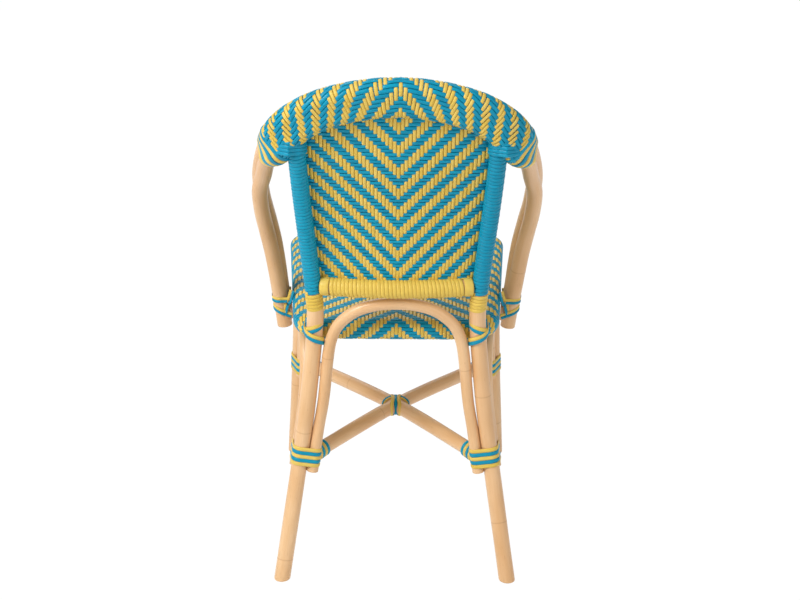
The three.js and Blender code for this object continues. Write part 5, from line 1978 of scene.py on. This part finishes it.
@dataclass
class SeatLashings:
    """Pairs of strips that tie the posts and the arms to the seat."""

    palette: Palette
    pair: HoopPair
    strip: float = 6.4
    arm_strip: float = 5.2
    thickness: float = 1.5
    post_under: tuple[float, float] = (440.0, 465.0)
    post_over: tuple[float, float] = (455.0, 419.0)
    arm_level: float = 442.0
    arm_outer: float = 427.0
    arm_inner: float = 411.0
    arm_cross: tuple[float, float] = (462.0, 414.0)
    arm_overlap: float = 4.0
    arm_cross_width: float = 13.0
    points: int = 48
    cover: float = 1.02
    tone: float = 0.4
    tone_spread: float = 0.3
    post_play: float = 0.4
    post_points: int = 30
    seat_play: float = 0.6
    side_play: float = 0.8
    crossing_lift: float = 1.6
    falling_lift: float = 0.5
    falling_shares: tuple[float, ...] = (0.0, 0.36, 0.64, 1.0)
    loop_corners: int = 120
    turn_points: int = 96

    def tie(
        self, flat: Array, heights: Array, hand: int, batches: tuple[Batch, Batch], strip: float, grow: float
    ) -> None:
        """Lays a yellow and a blue strip side by side along one line.

        Args:
            flat: The line seen from above, as (x, y).
            heights: Its heights, evenly spaced from the start to the end.
            hand: Which side of the chair it is on.
            batches: Take the blue and the yellow strip.
            strip: The width of one strip.
            grow: Lifts the line off the strips that it crosses.
        """
        blue, yellow = batches
        count = self.points
        line = level_path(flat).at(np.linspace(0.0, 1.0, count))
        middle = line.mean(axis=0)
        line = line + unit(line - middle) * grow
        line[:, 2] = np.interp(np.linspace(0.0, 1.0, count), np.linspace(0.0, 1.0, len(heights)), heights)
        line[:, 0] *= hand
        width_way = square_to(UP, unit(np.gradient(line, axis=0)))
        for target, side in ((yellow, 0.5), (blue, -0.5)):
            points = line + width_way * (side * strip)
            tone = self.tone + side * self.tone_spread
            target.add(band_shell(points, UP, strip * self.cover, self.thickness, False, tone))

    def posts(self, word: str, hand: int) -> None:
        """Ties one post to the seat's rear."""
        post = LINES.post_line(RIGHT).at_height(sum(self.post_over) / 2)
        reach = LINES.post + self.thickness / 2 + self.post_play
        face = SHIFT - LINES.seat_start + self.seat_play
        angles = np.linspace(0.0, math.pi, self.post_points)
        arc = np.column_stack([post[0] + np.cos(angles) * reach, post[1] + np.sin(angles) * reach])
        flat = np.vstack([[post[0] + reach, face], arc, [post[0] - reach, face]])
        batches = (Batch(), Batch())
        self.tie(flat, np.array(self.post_under), hand, batches, self.strip, 0.0)
        self.tie(flat, np.array(self.post_over), hand, batches, self.strip, self.crossing_lift)
        self.palette.stripes(f"seat_post_lashing_{word}", *batches)

    def arm_turn(self, height: float) -> Array:
        """The way round one arm's poles at a height, from the seat's side at the rear to the front.

        Args:
            height: The height at which the poles are cut.

        Returns:
            Points seen from above, on the right side of the chair.
        """
        places = [hoop.at_height(height, 1.0, 0.5) for hoop in (self.pair.lower, self.pair.upper)]
        circles = [(place[0], place[1], LINES.hoop) for place in places]
        loop = around_bundle(circles, self.thickness / 2 + FIT, self.loop_corners)
        kept = loop[:, 0] > min(place[0] for place in places) - self.arm_overlap
        first = int(np.flatnonzero(kept & ~np.roll(kept, 1))[0])
        outer = np.roll(loop, -first, axis=0)[: int(kept.sum())]
        if outer[0, 1] < outer[-1, 1]:
            outer = outer[::-1]
        ends = outer[0], outer[-1]
        sides = [float(LINES.seat_half(SHIFT - end[1])) + self.side_play for end in ends]
        flat = np.vstack([[sides[0], outer[0, 1]], outer, [sides[1], outer[-1, 1]]])
        return level_path(flat).at(np.linspace(0.0, 1.0, self.turn_points))[:, :2]

    def arms(self, word: str, hand: int) -> None:
        """Ties one arm's two poles to the seat's side: a level turn, a falling one and one across both."""
        batches = (Batch(), Batch())
        low, high = self.arm_turn(self.arm_inner), self.arm_turn(self.arm_cross[0])
        span = self.arm_cross[0] - self.arm_inner
        shares = np.linspace(0.0, 1.0, len(low))

        def turn(heights: Array) -> Array:
            """The way round the poles, with a height for each of its points."""
            return low + (high - low) * ((heights - self.arm_inner) / span)[:, None]

        level = np.full(len(low), self.arm_level)
        falling_heights = (self.arm_inner, self.arm_outer, self.arm_outer, self.arm_inner)
        falling = np.interp(shares, self.falling_shares, falling_heights)
        rear = int(np.argmax(low[:, 0] > low[0, 0] + self.arm_cross_width))
        across = np.interp(np.arange(len(low)), (0, rear - 1), self.arm_cross)
        self.tie(turn(level), level, hand, batches, self.arm_strip, 0.0)
        self.tie(turn(falling), falling, hand, batches, self.arm_strip, self.falling_lift)
        self.tie(turn(across)[:rear], across[:rear], hand, batches, self.arm_strip, self.crossing_lift)
        self.palette.stripes(f"arm_seat_lashing_{word}", *batches)

    def build(self) -> None:
        """Ties both posts and both arms."""
        for word, hand in HANDS:
            self.posts(word, hand)
            self.arms(word, hand)


# Small fixings, modelled by hand


class Workbench:
    """Short calls for modelling a piece with Blender's own operators."""

    @staticmethod
    def clear() -> None:
        """Leaves nothing selected."""
        if bpy.context.mode != "OBJECT":
            bpy.ops.object.mode_set(mode="OBJECT")
        bpy.ops.object.select_all(action="DESELECT")

    @staticmethod
    def disc(name: str, radius: float, height: float, corners: int) -> bpy.types.Object:
        """Starts a round piece, sized in millimetres."""
        Workbench.clear()
        bpy.ops.mesh.primitive_cylinder_add(vertices=corners, radius=radius * MM, depth=height * MM)
        piece = bpy.context.active_object
        piece.name = name
        return piece

    @staticmethod
    def pick(piece: bpy.types.Object, *ways: int) -> None:
        """Picks the faces that look up (1) or down (-1), and goes over to editing them."""
        bpy.ops.object.mode_set(mode="EDIT")
        bpy.ops.mesh.select_all(action="DESELECT")
        bpy.ops.object.mode_set(mode="OBJECT")
        for face in piece.data.polygons:
            face.select = any(face.normal.z * way > 0.9 for way in ways)
        bpy.ops.object.mode_set(mode="EDIT")

    @staticmethod
    def settle(piece: bpy.types.Object, turn: Matrix, place: Vector) -> None:
        """Puts a piece's turn and place into its mesh, with its object at the origin."""
        piece.data.transform(Matrix.Translation(place) @ turn.to_4x4())
        piece.matrix_world = Matrix.Identity(4)

    @staticmethod
    def round_edges(piece: bpy.types.Object, width: float, segments: int) -> None:
        """Rounds a piece's sharp edges for good."""
        bpy.context.view_layer.objects.active = piece
        bevel = piece.modifiers.new("Edges", "BEVEL")
        bevel.width = width
        bevel.segments = segments
        bevel.limit_method = "ANGLE"
        bpy.ops.object.modifier_apply(modifier=bevel.name)
        bpy.ops.object.shade_smooth_by_angle(angle=math.radians(35.0))


@dataclass
class Fixings:
    """Screws, foot glides and the slats under the seat."""

    palette: Palette
    pair: HoopPair
    screw_head: float = 3.6
    screw_height: float = 1.6
    screw_shank: float = 1.8
    screw_rise: float = 8.0
    glide: float = 9.5
    glide_height: float = 2.0
    slat_width: float = 34.0
    slat_thickness: float = 9.0
    socket_inset: float = 2.4
    socket_depth: float = 1.1
    screw_length: float = 24.0
    screw_play: float = 0.2
    small_round: float = 0.5
    glide_inset: float = 1.6
    slat_overlap: float = 2.0
    slat_drop: float = 3.9
    slat_round: float = 1.6
    slat_tone: float = 0.7
    slat_shares: tuple[float, float] = (0.34, 0.68)

    def values(self, piece: bpy.types.Object, tone: float) -> None:
        """Gives an operator-made piece the values that the rattan finish reads."""
        mesh = piece.data
        count = len(mesh.vertices)
        places = np.zeros(count * 3)
        mesh.vertices.foreach_get("co", places)
        places = places.reshape(-1, 3)
        grain = mesh.attributes.new("grain", "FLOAT_VECTOR", "POINT")
        grain.data.foreach_set("vector", places[:, [1, 2, 0]].ravel())
        for label, value in (("tone", tone), ("mark", 0.0)):
            mesh.attributes.new(label, "FLOAT", "POINT").data.foreach_set("value", np.full(count, value))

    def screw(self, name: str, centre: Array, hand: int) -> None:
        """Models one pan-head screw whose head lies against an arm pole."""
        piece = Workbench.disc(name, self.screw_head, self.screw_height, 32)
        Workbench.pick(piece, 1)
        bpy.ops.mesh.inset(thickness=self.socket_inset * MM)
        bpy.ops.transform.translate(value=(0, 0, -self.socket_depth * MM))
        Workbench.pick(piece, -1)
        bpy.ops.mesh.inset(thickness=(self.screw_head - self.screw_shank) * MM)
        bpy.ops.mesh.extrude_region_move(TRANSFORM_OT_translate={"value": (0, 0, -self.screw_length * MM)})
        bpy.ops.object.mode_set(mode="OBJECT")
        Workbench.round_edges(piece, self.small_round * MM, 2)
        turn = Matrix.Rotation(math.radians(90.0 * hand), 3, "Y")
        side = centre[0] + hand * (LINES.hoop + self.screw_play)
        Workbench.settle(piece, turn, Vector((side * MM, centre[1] * MM, centre[2] * MM)))
        self.palette.dress(piece, Finish.STEEL, "screw_steel", name.replace("_head", ""))

    def glide_foot(self, name: str, foot: Array) -> None:
        """Models one round glide with a softened rim."""
        piece = Workbench.disc(f"{name}_disc", self.glide, self.glide_height, 48)
        Workbench.pick(piece, 1, -1)
        bpy.ops.mesh.inset(thickness=self.glide_inset * MM, use_individual=True)
        bpy.ops.object.mode_set(mode="OBJECT")
        Workbench.round_edges(piece, self.small_round * MM, 3)
        place = Vector((foot[0] * MM, foot[1] * MM, self.glide_height / 2 * MM))
        Workbench.settle(piece, Matrix.Identity(3), place)
        self.palette.dress(piece, Finish.GLIDE, "glide_plastic", name)

    def slat(self, node: str, share: float) -> None:
        """Models one slat under the woven seat."""
        Workbench.clear()
        fore = LINES.seat_start + LINES.seat_length * share
        half = float(LINES.seat_half(fore)) - LINES.seat_edge - LINES.seat_pole + self.slat_overlap
        bpy.ops.mesh.primitive_cube_add(size=1.0)
        piece = bpy.context.active_object
        piece.name = f"{node}_board"
        bpy.ops.object.mode_set(mode="EDIT")
        bpy.ops.mesh.select_all(action="SELECT")
        bpy.ops.transform.resize(value=(2 * half * MM, self.slat_width * MM, self.slat_thickness * MM))
        bpy.ops.mesh.subdivide(number_cuts=5)
        bpy.ops.object.mode_set(mode="OBJECT")
        Workbench.round_edges(piece, self.slat_round * MM, 3)
        level = float(LINES.seat_level(fore)) - self.slat_drop - self.slat_thickness / 2
        tilt = Matrix.Rotation(-math.atan2(LINES.seat_drop, LINES.seat_length), 3, "X")
        Workbench.settle(piece, tilt, Vector((0.0, (SHIFT - fore) * MM, level * MM)))
        self.values(piece, self.slat_tone)
        self.palette.dress(piece, Finish.RATTAN, "rattan", node)

    def build(self) -> None:
        """Makes all the fixings."""
        for word, hand in HANDS:
            self.glide_foot(f"rear_glide_{word}", LINES.post_line(hand).at(0.0))
            self.glide_foot(f"front_glide_{word}", LINES.leg_line(hand).at(0.0))
            for place, hoop in (("rear", self.pair.lower), ("front", self.pair.upper)):
                near = hoop.at_height(LINES.seat_top, 1.0, 0.5)
                level = float(LINES.seat_level(SHIFT - near[1])) - LINES.seat_edge + self.screw_rise
                centre = hoop.at_height(level, 1.0, 0.5) * np.array([hand, 1.0, 1.0])
                self.screw(f"arm_screw_{place}_{word}_head", centre, hand)
        for word, share in zip(("rear", "front"), self.slat_shares):
            self.slat(f"seat_slat_{word}", share)


# The studio


@dataclass
class Studio:
    """A pale floor, soft lamps and the camera behind and above the chair."""

    lens: float = 62.4
    pitch: float = 0.374
    roll: float = 0.007
    camera_fore: float = -2071.7
    camera_up: float = 1339.6
    shift_x: float = 3.5
    shift_y: float = -1.4
    image_width: int = 800
    floor_size: float = 14.0
    floor_grey: float = 0.9
    floor_glow: float = 1.03
    glow_share: float = 0.97
    air: float = 0.5
    aim: tuple[float, float, float] = (0.0, 0.0, 0.45)
    lamps: tuple[tuple[str, tuple[float, float, float], float, float], ...] = (
        ("key_lamp", (1.6, 1.45, 2.5), 1.2, 58.0),
        ("side_lamp", (2.4, 1.4, 1.9), 1.6, 17.0),
        ("fill_lamp", (-2.2, 2.0, 1.4), 2.2, 20.0),
        ("front_lamp", (0.4, -2.6, 2.2), 2.0, 24.0),
    )

    def camera(self) -> None:
        """Sets up the camera."""
        data = bpy.data.cameras.new("view_from_behind")
        data.lens = self.lens
        data.sensor_width = 36.0
        data.shift_x = self.shift_x / self.image_width
        data.shift_y = self.shift_y / self.image_width
        data.clip_end = 60.0
        camera = bpy.data.objects.new("view_from_behind", data)
        ahead = Vector((0.0, -math.cos(self.pitch), -math.sin(self.pitch)))
        right = Vector((-1.0, 0.0, 0.0))
        above = right.cross(ahead)
        turn = Matrix((right, above, -ahead)).transposed()
        spin = Matrix.Rotation(self.roll, 3, "Z")
        stand = Matrix.Translation(Vector(spot(0.0, self.camera_fore, self.camera_up)) * MM)
        camera.matrix_world = stand @ (turn @ spin).to_4x4()
        bpy.context.collection.objects.link(camera)
        bpy.context.scene.camera = camera

    def floor(self) -> None:
        """Lays a white floor that shows only the chair's own shadow."""
        Workbench.clear()
        bpy.ops.mesh.primitive_plane_add(size=self.floor_size)
        floor = bpy.context.active_object
        floor.name = "studio_floor"
        recipe = Recipe("studio_floor")
        grey = (self.floor_grey, self.floor_grey, self.floor_grey, 1.0)
        plain = {"Base Color": grey, "Roughness": 0.9, "Specular IOR Level": 0.0}
        recipe.feed(recipe.shader, plain)
        glow = recipe.node("ShaderNodeEmission", {"Strength": self.floor_glow}).outputs["Emission"]
        seen = recipe.seen_by("Is Camera Ray", "Is Glossy Ray")
        share = recipe.node("ShaderNodeMath", {0: seen, 1: self.glow_share}, operation="MULTIPLY").outputs[0]
        surface = recipe.mixed_shaders(share, recipe.shader.outputs["BSDF"], glow)
        recipe.feed(recipe.tree.nodes["Material Output"], {"Surface": surface})
        floor.data.materials.append(recipe.material)

    def world(self) -> None:
        """Fills the room with even light and shows white behind."""
        world = bpy.data.worlds.new("studio_air")
        world.use_nodes = True
        world.node_tree.nodes.clear()
        tree = Nodes(world.node_tree)
        fill = tree.node("ShaderNodeBackground", {"Strength": self.air}).outputs["Background"]
        white = {"Strength": 1.0, "Color": (1.0, 1.0, 1.0, 1.0)}
        shown = tree.node("ShaderNodeBackground", white).outputs["Background"]
        seen = tree.seen_by("Is Camera Ray", "Is Transmission Ray")
        tree.node("ShaderNodeOutputWorld", {"Surface": tree.mixed_shaders(seen, fill, shown)})
        bpy.context.scene.world = world

    def lamp(self, name: str, place: tuple[float, float, float], size: float, power: float) -> None:
        """Hangs one square soft lamp that faces the chair."""
        data = bpy.data.lights.new(name, "AREA")
        data.shape = "SQUARE"
        data.size = size
        data.energy = power
        lamp = bpy.data.objects.new(name, data)
        turn = (Vector(self.aim) - Vector(place)).to_track_quat("-Z", "Y").to_matrix()
        lamp.matrix_world = Matrix.Translation(Vector(place)) @ turn.to_4x4()
        bpy.context.collection.objects.link(lamp)

    def build(self) -> None:
        """Sets up the camera, floor and lamps."""
        bpy.context.scene.view_settings.view_transform = "Standard"
        self.camera()
        self.floor()
        self.world()
        for lamp in self.lamps:
            self.lamp(*lamp)


def main() -> None:
    """Builds the whole chair and its studio."""
    logging.basicConfig(level=logging.INFO, format="%(name)s: %(message)s")
    palette = Palette()
    pair = HoopPair()
    builders = [
        Poles(palette),
        BackWeave(palette, pair),
        CrownWeave(palette, pair),
        SeatWeave(palette),
        Windings(palette),
        LegBindings(palette),
        StretcherBindings(palette),
        ArmBindings(palette, pair),
        SeatLashings(palette, pair),
        Fixings(palette, pair),
        Studio(),
    ]
    for builder in builders:
        LOG.info("building %s", type(builder).__name__)
        builder.build()


if __name__ == "__main__":
    main()
